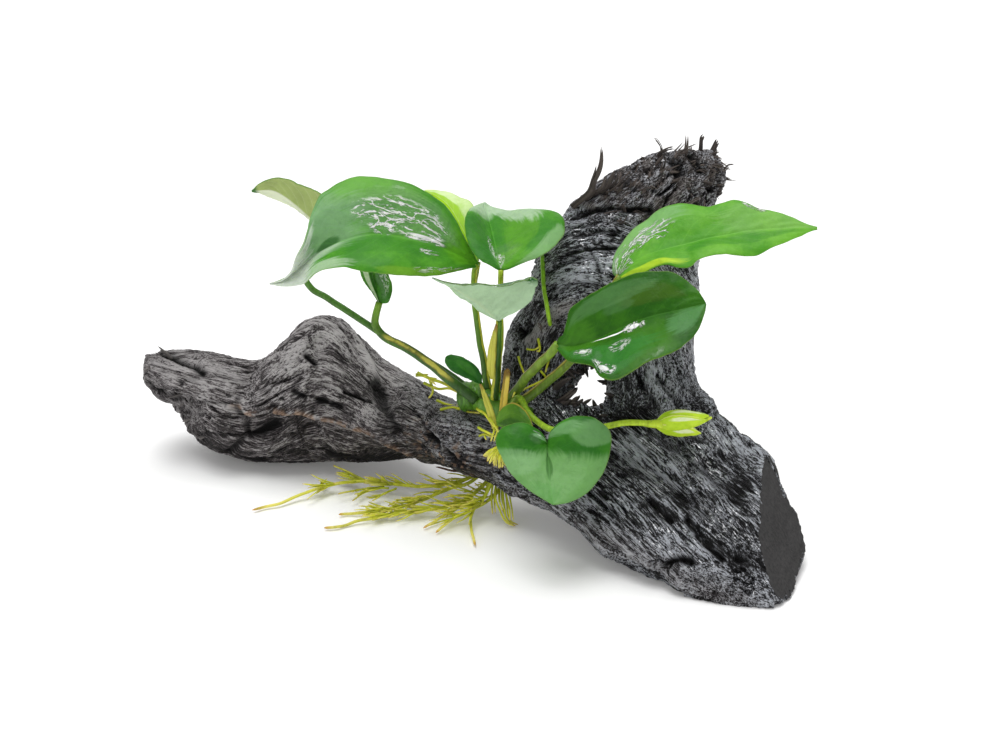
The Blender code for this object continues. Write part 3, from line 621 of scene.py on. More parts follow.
def weather(mesh):
    """Give the wood its lumps, furrows and hollows."""
    bm = bmesh.new()
    bm.from_mesh(mesh)
    bm.normal_update()
    frames = [stretch for limb in LIMBS for stretch in spine_frames(limb)]
    moves = []
    for v in bm.verts:
        height = noise.fractal(v.co / LUMP_LENGTH, 0.9, 2.0, LUMP_OCTAVES) * LUMP_HEIGHT
        height += furrow(v.co, frames) * FURROW_DEPTH
        move = v.normal * height
        for centre, along, length, width, depth in HOLLOWS:
            offset = v.co - Vector(centre)
            lengthwise = offset.dot(Vector(along).normalized())
            crosswise = math.sqrt(max(0.0, offset.length_squared - lengthwise**2))
            reach = (lengthwise / length) ** 2 + (crosswise / (width + depth)) ** 2
            move -= v.normal * depth * math.exp(-1.6 * reach**2)
        moves.append(move)
    for v, move in zip(bm.verts, moves):
        v.co += move
    bm.to_mesh(mesh)
    bm.free()


def limb_grain(points, stations):
    """Grain coordinates that follow a limb from left to right, and swell with it."""
    steps = 12
    centres = np.array([p[:] for p in through([s[0] for s in stations], steps)])
    reaches = np.array([p[:] for p in through([s[1] for s in stations], steps)])
    depths = np.array([p.x for p in through([(s[2], 0, 0) for s in stations], steps)])
    lengths = np.concatenate(([0], np.cumsum(np.linalg.norm(np.diff(centres, axis=0), axis=1))))
    x, y, z = points.T
    at = centres[:, 0]
    along = np.interp(x, at, lengths) + x - np.clip(x, at[0], at[-1])
    up = (z - np.interp(x, at, centres[:, 2])) / np.interp(x, at, np.linalg.norm(reaches, axis=1))
    side = (y - np.interp(x, at, centres[:, 1])) / np.interp(x, at, depths)
    return np.column_stack((along, up * LEFT_LIMB_GIRTH, side * LEFT_LIMB_GIRTH))


def straight_grain(points, along, across):
    """Grain coordinates along a straight direction."""
    along = along / np.linalg.norm(along)
    across = across - along * (across @ along)
    across = across / np.linalg.norm(across)
    return points @ np.column_stack((along, across, np.cross(along, across)))


def arch_grain(points):
    """Grain coordinates that run round the gap between the two legs."""
    x = (points[:, 0] - ARCH_CENTRE[0]) * ARCH_NARROWING
    z = points[:, 2] - ARCH_CENTRE[1]
    return np.column_stack((np.arctan2(z, x) * ARCH_RADIUS, np.hypot(x, z), points[:, 1]))


def line_distance(points, line):
    """Distance of many points from a line of straight stretches."""
    nearest = np.full(len(points), np.inf)
    for start, end in zip(np.array(line, float), np.array(line[1:], float)):
        span = end - start
        share = np.clip((points - start) @ span / (span @ span), 0, 1)[:, None]
        nearest = np.minimum(nearest, ((points - start - share * span) ** 2).sum(axis=1))
    return np.sqrt(nearest)


def fibrous(grain, stretch, seed, broad, strands, hairs, cracks):
    """Height of a fibrous surface in millimetres, its painted light and shade, lighter on crests and darker
    in cracks, and the coordinates it was made in.
    """
    wander = np.column_stack([np.zeros(len(grain))] + [rough(grain / (34, 10, 10), seed + i) for i in (1, 2)])
    drawn = grain / (stretch, 1, 1) + wander * 2.2
    swells = rough(drawn / 4.6, seed + 3)
    crests = 1 - 2.6 * np.abs(rough(drawn / 1.8, seed + 4))
    fine = 1 - 2.6 * np.abs(rough(drawn / 1.0, seed + 5))
    gap = 1 - smooth(0.02, 0.13, np.abs(rough(drawn / 3.4, seed + 6)))
    gap *= smooth(0.0, 0.3, rough(grain / (20, 8, 8), seed + 7))
    height = broad * swells + strands * crests + hairs * fine - cracks * gap
    return height, 0.7 * swells + 0.8 * crests + 0.6 * fine - 1.8 * gap, drawn


def ledge_relief(points, rag):
    """A ledge that juts out along the left limb, over a smooth hollow face. It gives the height, and the
    shares of the edge and of the hollow face, for painted highlight and painted shade.
    """
    line = np.array(LEDGE)
    x, y, z = points.T
    above = z - np.interp(x, line[:, 0], line[:, 2]) + 0.6 * rag
    here = smooth(-83, -77, x) * smooth(-17, -25, x) * smooth(13, 7, y - np.interp(x, line[:, 0], line[:, 1]))
    crest = np.exp(-((above / 0.8) ** 2))
    hollow = smooth(0.4, -1.8, above) * smooth(-16, -6, above)
    return here * (1.2 * crest - 2.2 * hollow), here * crest, here * hollow


def wood_relief(points, facing_up):
    """What the fine surface adds to the weathered wood: its height and the attributes of its finish, which
    include painted light and shade.
    """

    def near(line, width):
        """1 on a line, falling to 0 within about two widths of it."""
        return np.exp(-((line_distance(points, line) / width) ** 2))

    x, y, z = points.T
    past_fork = (points - np.array(LEFT_FORK)) @ np.array(LEFT_FORK_FACING)
    above_fork = (points - np.array(UPPER_FORK)) @ np.array(UPPER_FORK_FACING)
    rag = rough(points / 6.0, seed=90)

    # The share of each region at each point, and the grain there
    left = 1 - smooth(-6, 4, past_fork + 3 * rag)
    top = smooth(93, 98, z + 5 * rag + 0.1 * (x - 40)) * (1 - left)
    arch = smooth(-3, 5, above_fork + 3 * rag) * (1 - left) * (1 - top)
    foot = smooth(7, 12, y) * (1 - smooth(27, 33, z)) * (1 - left) * (1 - arch)
    slab = np.clip(1 - left - top - arch - foot, 0, 1)
    regions = [
        (left, limb_grain(points, LEFT_LIMB), "left"),
        (slab, straight_grain(points, SLAB_GRAIN, SLAB_ACROSS), "slab"),
        (foot, straight_grain(points, FOOT_GRAIN, SLAB_ACROSS), "foot"),
        (arch, arch_grain(points), "arch"),
        (top, straight_grain(points, TORN_GRAIN, SLAB_ACROSS), "top"),
    ]
    height = np.zeros(len(points))
    shade = np.zeros(len(points))
    grain = np.zeros((len(points), 3))
    strongest = np.zeros(len(points))
    for weight, coordinates, name in regions:
        here = weight > 0.01
        rise, light, drawn = fibrous(coordinates[here], *GRAIN_STYLES[name])
        height[here] += weight[here] * rise
        shade[here] += weight[here] * light
        stronger = weight[here] > strongest[here]
        where = np.flatnonzero(here)[stronger]
        grain[where] = drawn[stronger]
        strongest[where] = weight[where]

    # Fine pitting, lighter where it rises as painted light, layers at the left end, and scattered pits
    pitting = rough(points / 1.25, seed=62)
    height += 0.36 * pitting * (0.4 * slab + 0.75 * left + 0.5 * top + 0.4 * arch)
    shade += 0.5 * pitting * (0.3 * slab + left)
    height += 1.3 * smooth(-80, -92, x) * smooth(30, 24, z) * rough(points / (9, 9, 1.7), seed=91)
    crowded = smooth(-0.3, 0.3, rough(points / 14, seed=66))
    pits = smooth(0.40, 0.62, rough(points / 2.2, seed=65)) * crowded
    height -= 0.9 * pits * (left + 0.3 * slab)
    # Painted light: the left limb is lighter where it faces up, and darker where it does not
    shade += left * (1.1 * facing_up - 0.35)

    # The ledge, the sharp marks, and the places of painted light and shade. The ledge's edge is painted
    # lighter as a highlight, and the hollow face under it darker as shade.
    jut, crest, hollow = ledge_relief(points, rag)
    quiet = 1 - 0.65 * hollow
    height = height * quiet + jut
    shade = shade * quiet - 0.1 * hollow + 0.8 * crest
    # Painted shade in the pits and in the cuts of the marks, through deep; raised marks are painted lighter
    # as highlights
    deep = 0.8 * pits * (left + 0.3 * slab)
    for line, width, depth in MARKS:
        reach = np.exp(-((line_distance(points, line) / width * (1 + 0.35 * rag)) ** 2))
        height -= depth * reach
        if depth > 0:
            deep = np.maximum(deep, np.minimum(1.5 * reach, 1.0) * min(1.0, depth / (1.6 + 0.5 * width)))
        else:
            shade += 0.8 * reach
    shade += 1.6 * near(PAINTED_RIDGE_HIGHLIGHT, 0.7)
    for line, width, lift in PAINTED_LIGHT_AND_SHADE:
        shade += lift * near(line, width)

    # Where the wood is torn, ochre and wet
    ochre = crest * smooth(-0.35, 0.1, rough(points / 2.0, seed=70))
    patch = near(RED_BROWN_PATCH, 6.5)
    specks = patch * smooth(0.25, 0.42, rough(points / 1.6, seed=74))
    ochre = np.maximum(ochre, 0.9 * specks)
    torn = 0.8 * top * smooth(-0.1, 0.5, rough(points / 3.5, seed=71))
    torn = np.maximum(torn, 0.75 * patch * smooth(-0.1, 0.4, rough(points / 2.4, seed=72)))
    knot = near(KNOT, 2.4)
    shade += 1.5 * knot
    rim = near(LOWER_RIM, 5.0)
    torn = np.maximum(torn, 0.35 * knot)
    wet = (1 - left) * (1 - 0.85 * knot) * (1 - 0.6 * rim) * (1 - 0.45 * top)
    wet = np.clip(wet + 0.5 * smooth(-30, -6, x) * left, 0, 1)
    return height, {"relief": shade, "torn": torn, "ochre": ochre, "deep": deep, "wet": wet}, grain


def driftwood_skin():
    """The whole wood as one fine skin, in the design frame, with its attributes."""
    bm = bmesh.new()
    for limb in LIMBS:
        add_limb(bm, limb)
    bmesh.ops.recalc_face_normals(bm, faces=bm.faces)
    whole = new_object("rough wood", bm)
    skin = whole.modifiers.new("one skin", "REMESH")
    skin.mode = "VOXEL"
    skin.voxel_size = WOOD_CELL
    whole = evaluated_copy(whole, "weathered wood")
    weather(whole.data)
    finer = whole.modifiers.new("finer", "SUBSURF")
    finer.levels = 2
    finer.render_levels = 2
    whole = evaluated_copy(whole, "fine wood")
    mesh = whole.data
    count = len(mesh.vertices)
    points = np.empty(count * 3)
    mesh.vertices.foreach_get("co", points)
    points = points.reshape(-1, 3)
    normals = np.empty(count * 3, np.float32)
    mesh.vertex_normals.foreach_get("vector", normals)
    normals = normals.reshape(-1, 3)
    height, shares, grain = wood_relief(points, normals[:, 2])
    points = points + normals * height[:, None]
    # The upper part of the left end juts out
    points[:, 0] -= LEFT_END_JUT * smooth(-90, -106, points[:, 0]) * smooth(19, 27, points[:, 2])
    mesh.vertices.foreach_set("co", points.ravel())
    for name, values in shares.items():
        mesh.attributes.new(name, "FLOAT", "POINT").data.foreach_set("value", values)
    mesh.attributes.new("grain", "FLOAT_VECTOR", "POINT").data.foreach_set("vector", grain.ravel())
    mesh.update()
    return whole, points, normals


def cut_off(bm, point, outward, finish):
    """Cut away what lies beyond a plane, and close the cut with a sharp edge round it."""
    everything = bm.verts[:] + bm.edges[:] + bm.faces[:]
    cut = bmesh.ops.bisect_plane(
        bm, geom=everything, plane_co=point, plane_no=outward, clear_outer=True, dist=0.0001
    )
    rim = [e for e in cut["geom_cut"] if isinstance(e, bmesh.types.BMEdge)]
    caps = bmesh.ops.holes_fill(bm, edges=rim)["faces"]
    for face in caps:
        face.material_index = finish
    for edge in rim:
        edge.smooth = False


def wood_piece(name, skin, cuts, finishes, slot):
    """One part of the driftwood between its cuts. Each cut is a plane and the finish of what it bares."""
    bm = bmesh.new()
    bm.from_mesh(skin.data)
    for face in bm.faces:
        face.smooth = True
    for point, outward, finish in cuts:
        cut_off(bm, point, outward, finish)
    bmesh.ops.transform(
        bm, matrix=Matrix.Scale(MM, 4) @ Matrix.Translation(TO_BASE_CENTRE), verts=bm.verts
    )
    finished(new_object("wood_" + name, bm, *finishes), slot, "driftwood_" + name)


def frayed(strands, points, normals, where, reach, heading, count, length, draw):
    """Torn fibres, in small curling bundles, that stand up from the skin round a place."""
    # None stands near the floor or out of the sawn end
    height = points[:, 2]
    past_saw = (points - np.array(SAWN_END)) @ np.array(SAWN_END_FACING) > -1.0
    kept = (height > 2.0) & ~(past_saw & (height < 40.0))
    near = np.flatnonzero(kept & (np.linalg.norm(points - np.array(where), axis=1) < reach))
    heading = Vector(heading).normalized()
    for number in range(count):
        if number % 3 == 0:
            pick = int(near[draw.randrange(len(near))])
            foot = Vector(points[pick])
            outward = Vector(normals[pick])
            lean = heading + outward * draw.uniform(0.0, 0.4)
            lean += jitter(draw, 0.7)
            curl = jitter(draw, 0.4)
        step = lean.normalized() * length * draw.uniform(0.3, 1.0) / 4
        path = [foot - outward * 0.7 + jitter(draw, 0.5)]
        for _ in range(4):
            path.append(path[-1] + step)
            step = step + curl * step.length
        path = through(path, 2)
        radii = tapered(len(path), draw.uniform(0.14, 0.55), taper=0.35, tip=0.3)
        strands.add(path, radii, 6, 0.6, draw.random())


def loose_fibres(points, normals):
    """The splinters and torn fibres at the broken ends, and round the gap between the legs."""
    draw = random.Random(5)
    wet, dry = Strands(), Strands()
    for line, radius in SPLINTERS:
        gather = dry if line[0][0] < 0 else wet
        path = wavered(through(line, 5), 0.4, 3)
        for _ in range(3):
            shift = jitter(draw, 0.5)
            thin = tapered(len(path), radius * draw.uniform(0.45, 0.75), taper=0.3, tip=0.25)
            strand = [p + shift * (0.5 + i / len(path)) for i, p in enumerate(path)]
            gather.add(strand, thin, 8, 0.55, draw.uniform(0.0, 0.5))
    for where, reach, heading, count, length in FRAYED:
        gather = dry if where[0] < 0 else wet
        frayed(gather, points, normals, where, reach, heading, count, length, draw)
    centre = Vector(HOLE_CENTRE)
    away = np.linalg.norm((points - np.array(HOLE_CENTRE)) * (1, 0.6, 1), axis=1)
    rim = np.flatnonzero(away < HOLE_REACH)
    for _ in range(HOLE_FIBRES):
        foot = Vector(points[int(rim[draw.randrange(len(rim))])])
        inward = centre - foot
        inward.y = 0
        step = inward.normalized() * draw.uniform(0.4, 1.2)
        step += jitter(draw, 0.3)
        path = [foot - step * 0.5] + [foot + step * k for k in (0.6, 1.6, 2.6)]
        wet.add(through(path, 2), tapered(7, draw.uniform(0.6, 1.4), taper=0.3, tip=0.3), 6, 0.7, 0.0)
    torn = fibre_finish("torn wood fibres", (0.007, 0.006, 0.006), (0.13, 0.105, 0.092))
    grey = fibre_finish("grey wood fibres", (0.03, 0.027, 0.026), (0.24, 0.22, 0.21))
    finished(wet.piece("torn_fibres", torn), "wet_wood")
    finished(dry.piece("grey_fibres", grey), "dry_wood")


def driftwood():
    skin, points, normals = driftwood_skin()
    finishes = (wood_finish(), sawn_wood())
    ground = ((0, 0, 0.05), (0, 0, -1), 0)
    saw = (SAWN_END, SAWN_END_FACING, 1)
    left_side = (LEFT_FORK, LEFT_FORK_FACING, 0)
    right_side = (LEFT_FORK, -LEFT_FORK_FACING, 0)
    below = (UPPER_FORK, UPPER_FORK_FACING, 0)
    above = (UPPER_FORK, -UPPER_FORK_FACING, 0)
    wood_piece("left_limb", skin, [ground, left_side], finishes, "dry_wood")
    wood_piece("slab", skin, [ground, right_side, below, saw], finishes, "wet_wood")
    wood_piece("upper_limb", skin, [right_side, above], finishes, "wet_wood")
    bpy.data.objects.remove(skin)
    loose_fibres(points, normals)


# How fine a blade's grid is, in rows and columns a millimetre, and at the least
ROWS_PER_MM = 1.9
COLUMNS_PER_MM = 1.8
LEAST_ROWS = 18
LEAST_COLUMNS = 8

# Side veins: how far they slant toward the tip, and how many half waves of them the finish draws
VEIN_SLANT = 0.30
VEIN_WAVES = 28.3

# What brings the top of a bulge to 1
FULL_BULGE = 6.75

# Leaf blades. Each has its midrib and its two edges, from stalk to tip, the way its upper side faces, and
# how far its halves bulge, as a share of their width. Some have wrinkles, a groove along the rib, a rippled
# edge, a thickness or a number of veins of their own.
LEAVES = {
    "broad_left": dict(
        face=(0, -0.5, 0.87), bulge=0.10, rough=0.6,
        rib=[(-0.5, 7, 83.5), (-7.5, 5.5, 88), (-15.5, 3.5, 92.5), (-24, 1, 95.5), (-32, -1, 97),
             (-40.5, -3, 96), (-47.5, -4, 93), (-53.5, -5, 88.5), (-58.5, -6, 85), (-63.5, -6.5, 83)],
        first=[(-0.5, 7, 84), (-4, 9.5, 90.5), (-8, 11.5, 97.5), (-12.5, 12.5, 102.5), (-20.5, 13, 107.5),
               (-27.5, 13, 109.5), (-37, 11.5, 111), (-42, 9.5, 110), (-45.5, 7, 108.5), (-48.5, 4.5, 107),
               (-51, -1, 102.5), (-52.5, -7, 97.5), (-55, -10, 93.5), (-56.5, -9, 89), (-59.5, -7.5, 85),
               (-63.5, -6.5, 83.5)],
        second=[(-0.5, 7, 83), (-3, 5, 83.5), (-7.5, 0, 84.5), (-12.5, -5.5, 85.5), (-17.5, -9.5, 87),
                (-22, -13, 88.5), (-28, -15.5, 90), (-35.5, -15, 91), (-41, -13.5, 91.5), (-46, -12.5, 90.5),
                (-49, -12, 89), (-51, -11.5, 87), (-53.5, -10.5, 84.5), (-59, -8, 83), (-63.5, -6.5, 83)],
    ),
    "back_left": dict(
        face=(-0.35, 0.75, 0.5), bulge=0.05,
        rib=[(-46, 22, 87), (-50.5, 24.5, 89.5), (-53.5, 26.5, 91.5), (-57, 28, 94.5), (-61.5, 30, 97.5),
             (-65.5, 31, 99), (-71.5, 32, 98.5)],
        first=[(-46, 22, 88), (-45.5, 22.5, 93), (-49, 24.5, 100), (-53, 26, 101.5), (-56.5, 27, 102.5),
               (-59.5, 28.5, 103.5), (-64, 29.5, 103.5), (-68.5, 31, 101.5), (-71.5, 32, 98.5)],
        second=[(-46.5, 22, 87), (-50, 24.5, 89), (-53.5, 26, 91), (-57, 28, 93), (-61, 29.5, 95),
                (-66, 31, 96.5), (-69, 31.5, 97.5), (-71.5, 32, 98)],
    ),
    "folded": dict(
        face=(0.6, -0.3, 0.72), bulge=0.05,
        rib=[(-31, 8, 70.5), (-32, 10, 73.5), (-33, 13, 76), (-34, 16.5, 78.5), (-34.5, 21, 81)],
        first=[(-31.5, 8, 70.5), (-33, 9, 73), (-35.5, 10.5, 76), (-37, 13, 78.5), (-37.5, 16, 81),
               (-36.5, 19, 82), (-34.5, 21, 81)],
        second=[(-31, 8, 70.5), (-28.5, 7, 71), (-27.5, 7, 73), (-27, 8.5, 75.5), (-28, 11, 78),
                (-30.5, 16, 80.5), (-34, 21, 81)],
    ),
    "back_middle": dict(
        face=(-0.05, -0.45, 0.83), bulge=0.05,
        rib=[(-0.5, 12.5, 82.5), (-3, 16, 86.5), (-6, 20.5, 91.5), (-9.5, 26, 95.5), (-13.5, 31, 97),
             (-17.5, 35, 97)],
        first=[(-0.5, 13, 82.5), (0, 16, 87), (-0.5, 21, 91.5), (-2.5, 27, 96), (-6.5, 31, 96.5),
               (-10, 34, 97), (-14, 36, 97), (-17.5, 36, 97)],
        second=[(-1, 13, 82.5), (-5, 17, 86), (-9.5, 22, 90), (-13, 27, 93), (-16, 32.5, 95),
                (-17.5, 35.5, 96.5)],
    ),
    "upper_middle": dict(
        face=(0, 0.05, 1), bulge=0.12, rough=0.6,
        rib=[(6.5, -4, 87), (5.5, 2, 89), (4.5, 8.5, 90.5), (3.5, 15.5, 92), (2.5, 22.5, 93.5),
             (1.5, 28, 96)],
        first=[(7, -4, 86.5), (9.5, -5, 87.5), (14, -4.5, 89.5), (18.5, -3, 91), (22, 0, 92),
               (25.5, 5.5, 94), (26, 10.5, 95), (25.5, 16, 95.5), (23, 20.5, 95.5), (18, 24, 94.5),
               (12, 26.5, 93), (7, 28, 93), (3.5, 28.5, 94), (1.5, 28, 96)],
        second=[(6, -4, 86.5), (4, -4, 87.5), (0, -2.5, 89.5), (-2.5, 1, 91), (-4, 5.5, 93.5),
                (-4.5, 11, 95.5), (-4, 17, 96.5), (-2.5, 22.5, 96.5), (-0.5, 26.5, 96), (1.5, 28, 96)],
    ),
    "lower_middle": dict(
        face=(-0.06, 0.6, 0.8), bulge=0.05, crinkle=1.0,
        rib=[(6, -10, 72.5), (3, -13, 76.5), (0, -17, 81), (-3.5, -21.5, 85.5), (-7.5, -26, 90.5),
             (-13.5, -31, 95.5)],
        first=[(6, -10, 72.5), (8.5, -11, 74.5), (12, -12.5, 77), (15.5, -14, 81), (17, -16.5, 86),
               (17.5, -18.5, 89.5), (15, -20, 90.5), (11.5, -21.5, 90.5), (7, -23, 89.5), (2, -24.5, 90.5),
               (-4.5, -27.5, 92), (-9.5, -29, 93.5), (-13.5, -31, 95.5)],
        second=[(5.5, -10, 72.5), (3, -9.5, 74), (0, -10.5, 76), (-2, -13, 79), (-5.5, -18, 83.5),
                (-8.5, -23.5, 89), (-10.5, -28, 92.5), (-13.5, -31, 95.5)],
    ),
    "round": dict(
        face=(-0.38, -0.62, 0.68), bulge=0.03, rough=0.7,
        rib=[(23.5, -14, 66.5), (27.5, -15.5, 66.5), (32, -17, 68), (36.5, -18, 70.5), (41, -19.5, 73.5),
             (46, -20.5, 76.5), (51.5, -21.5, 79), (59.5, -22.5, 81.5), (67.5, -23, 84)],
        first=[(23.5, -14, 66.5), (24, -14, 68.5), (25.5, -14, 70), (26.5, -12.5, 74), (27.5, -11.5, 77),
               (30.5, -11, 79.5), (35, -11, 82.5), (39.5, -11.5, 85.5), (44, -12.5, 88), (48, -13, 89.5),
               (53.5, -14, 90.5), (58, -15.5, 90.5), (61.5, -17, 89), (65, -20, 87), (66.5, -22, 85.5),
               (67.5, -23, 84)],
        second=[(23.5, -14.5, 66), (24, -15.5, 65), (26.5, -19, 63.5), (28, -23, 64.5), (31.5, -26.5, 65.5),
                (34, -29.5, 66), (35.5, -33, 65), (37, -35.5, 65), (39.5, -37, 65), (42.5, -38, 66.5),
                (46, -38, 69), (49.5, -37, 71), (54, -36.5, 72.5), (58.5, -35, 74), (62.5, -32, 76),
                (65, -29.5, 78), (67, -26, 81.5), (67.5, -23, 83.5)],
    ),
    "long_right": dict(
        face=(-0.17, -0.2, 0.96), bulge=0.08, rough=0.6,
        rib=[(42.5, -4.5, 84.5), (45.5, -4.5, 88.5), (50.5, -4, 91.5), (56.5, -4, 93.5), (63, -3.5, 95),
             (69, -3, 96.5), (75, -2.5, 97.5), (82, -1.5, 98.5), (89, 0, 98.5), (96, 1, 98.5),
             (102.5, 2, 97.5)],
        first=[(42, -4, 84), (40.5, -2.5, 85.5), (41, 1.5, 88.5), (43.5, 4, 92), (47, 6, 96),
               (51, 7.5, 98.5), (55, 8.5, 101.5), (59, 8.5, 103), (62.5, 8, 103.5), (66.5, 6.5, 103.5),
               (69.5, 5.5, 103.5), (73.5, 6, 104.5), (77.5, 7, 105), (81.5, 6.5, 104), (85.5, 5.5, 102.5),
               (89, 5.5, 102), (95.5, 4.5, 100), (100, 3, 98.5), (102.5, 2.5, 98)],
        second=[(42.5, -5, 84), (44.5, -6.5, 85.5), (48.5, -8, 87), (52.5, -9, 89.5), (56, -10, 91),
                (60.5, -11.5, 90.5), (63.5, -11.5, 91), (65.5, -11, 93), (68.5, -10.5, 94),
                (73.5, -10.5, 94.5), (79, -10, 93.5), (83.5, -9, 93.5), (88, -6.5, 95), (93, -4, 96),
                (98.5, -0.5, 97), (102.5, 2, 97.5)],
    ),
    "heart": dict(
        face=(0.05, -0.45, 0.88), bulge=0.08, rough=0.5,
        rib=[(20.5, -31.5, 41), (20.5, -35.5, 39), (21, -39.5, 37), (21, -43.5, 35), (21.5, -47, 33),
             (22, -50, 30.5)],
        first=[(21, -31.5, 41.5), (21.5, -31, 45), (24.5, -30.5, 48), (29, -30.5, 50), (34, -31, 50),
               (37.5, -32, 48), (39.5, -33.5, 45.5), (39, -36.5, 40), (37, -40, 36), (33, -44.5, 32.5),
               (27.5, -48, 30.5), (22.5, -50, 30.5)],
        second=[(20.5, -31.5, 41.5), (19, -31, 44.5), (17, -30.5, 46), (13, -30.5, 48), (8.5, -31, 47.5),
                (6, -32, 46), (5, -33.5, 43), (6.5, -36.5, 40), (9, -40, 36.5), (13.5, -44.5, 34),
                (18, -48, 32), (22, -50, 30.5)],
    ),
    "small_dark": dict(
        face=(0.25, -0.8, 0.5), bulge=0.16, groove=0.05,
        rib=[(0.4, -7, 50.1), (-2.4, -6.8, 52.8), (-5.4, -6.6, 55.5), (-8.2, -6.4, 57.4),
             (-10.5, -6.2, 58.3)],
        first=[(0.5, -7, 50.2), (0.5, -6.2, 52.6), (-1.1, -5.6, 55), (-3.3, -5.4, 56.9), (-6.2, -5.4, 58.5),
               (-9.1, -5.8, 59.2), (-10.5, -6.2, 58.5)],
        second=[(0.2, -7, 49.9), (-2.7, -8, 51.7), (-6.2, -8.2, 53.5), (-9.1, -7.8, 55.2), (-10.5, -7, 57),
                (-10.5, -6.3, 58.2)],
    ),
    "tucked": dict(
        face=(0.1, -0.3, 0.95), bulge=0.14, groove=0.05,
        rib=[(5.3, -15, 40.4), (8.1, -17, 44), (10.8, -19, 45.6), (13.5, -21.5, 44.9), (16.3, -24, 42.1)],
        first=[(5.2, -14.8, 41), (6.2, -14.2, 44.1), (9.6, -15, 47.2), (12.6, -17.5, 47.2),
               (15.1, -21, 45.4), (16.4, -23.8, 42.4)],
        second=[(5.5, -15.4, 39.9), (7.8, -19, 40.7), (10.8, -21.5, 41.1), (13.8, -23.4, 41.3),
                (16.3, -24.2, 41.5)],
    ),
}
SHEATHS = {
    "upper": dict(
        face=(-0.2, -1, 0), bulge=0.15, thickness=0.3, veins=0,
        rib=[(3.9, -7.9, 52), (3.4, -8.9, 56), (3.5, -10, 60.7), (4.1, -11, 66.5), (5.2, -11, 71.7)],
        first=[(4.4, -7.9, 52), (4.6, -8.9, 56), (4.9, -10.2, 60.8), (5.1, -11, 66.5), (5.3, -11, 71.5)],
        second=[(3.4, -7.8, 52), (2.4, -8.4, 55.6), (2.6, -9.4, 61.5), (3.8, -10.6, 67.7), (5, -11, 71.9)],
    ),
    "lower": dict(
        face=(-0.2, -1, 0), bulge=0.15, thickness=0.3, veins=0,
        rib=[(4.7, -12, 37.3), (3.5, -11.6, 41.5), (1.9, -10, 45.9), (0.2, -8.4, 50.5)],
        first=[(5.5, -11.8, 37.5), (4.4, -11.2, 42), (2.8, -9.8, 46.1), (0.5, -8.4, 50.5)],
        second=[(3.9, -12, 36.9), (2.6, -11.6, 41.2), (1.2, -10, 45.5), (-0, -8.2, 50.5)],
    ),
}


def blade_axes(s):
    """Along the blade from 0 to 1, across it from 0 at the first edge to 1, and out from the rib to 1."""
    split = s.node("ShaderNodeSeparateXYZ")
    s.feed(split, 0, s.uv())
    along, across = split.outputs[0], split.outputs[1]
    return along, across, s.calculate("ABSOLUTE", s.scaled(across, 2.0, -1.0))


def veins(s, along, reach, width):
    """1 on the side veins, which slant toward the tip, and 0 between them."""
    rise = s.scaled(reach, -VEIN_SLANT, along)
    wave = s.calculate("ABSOLUTE", s.calculate("SINE", s.times(rise, VEIN_WAVES)))
    return s.flipped(s.within(wave, 0.0, width))


def patch(s, along, across, ragged, spot):
    """1 inside a ragged oval of a blade and 0 outside. spot is its centre and its two half-sizes."""
    at, side, length, width = spot
    first = s.calculate("POWER", s.times(s.minus(along, at), 1 / length), 2.0)
    second = s.calculate("POWER", s.times(s.minus(across, side), 1 / width), 2.0)
    away = s.calculate("ADD", s.calculate("ADD", first, second), ragged)
    return s.flipped(s.within(away, 0.5, 1.3))


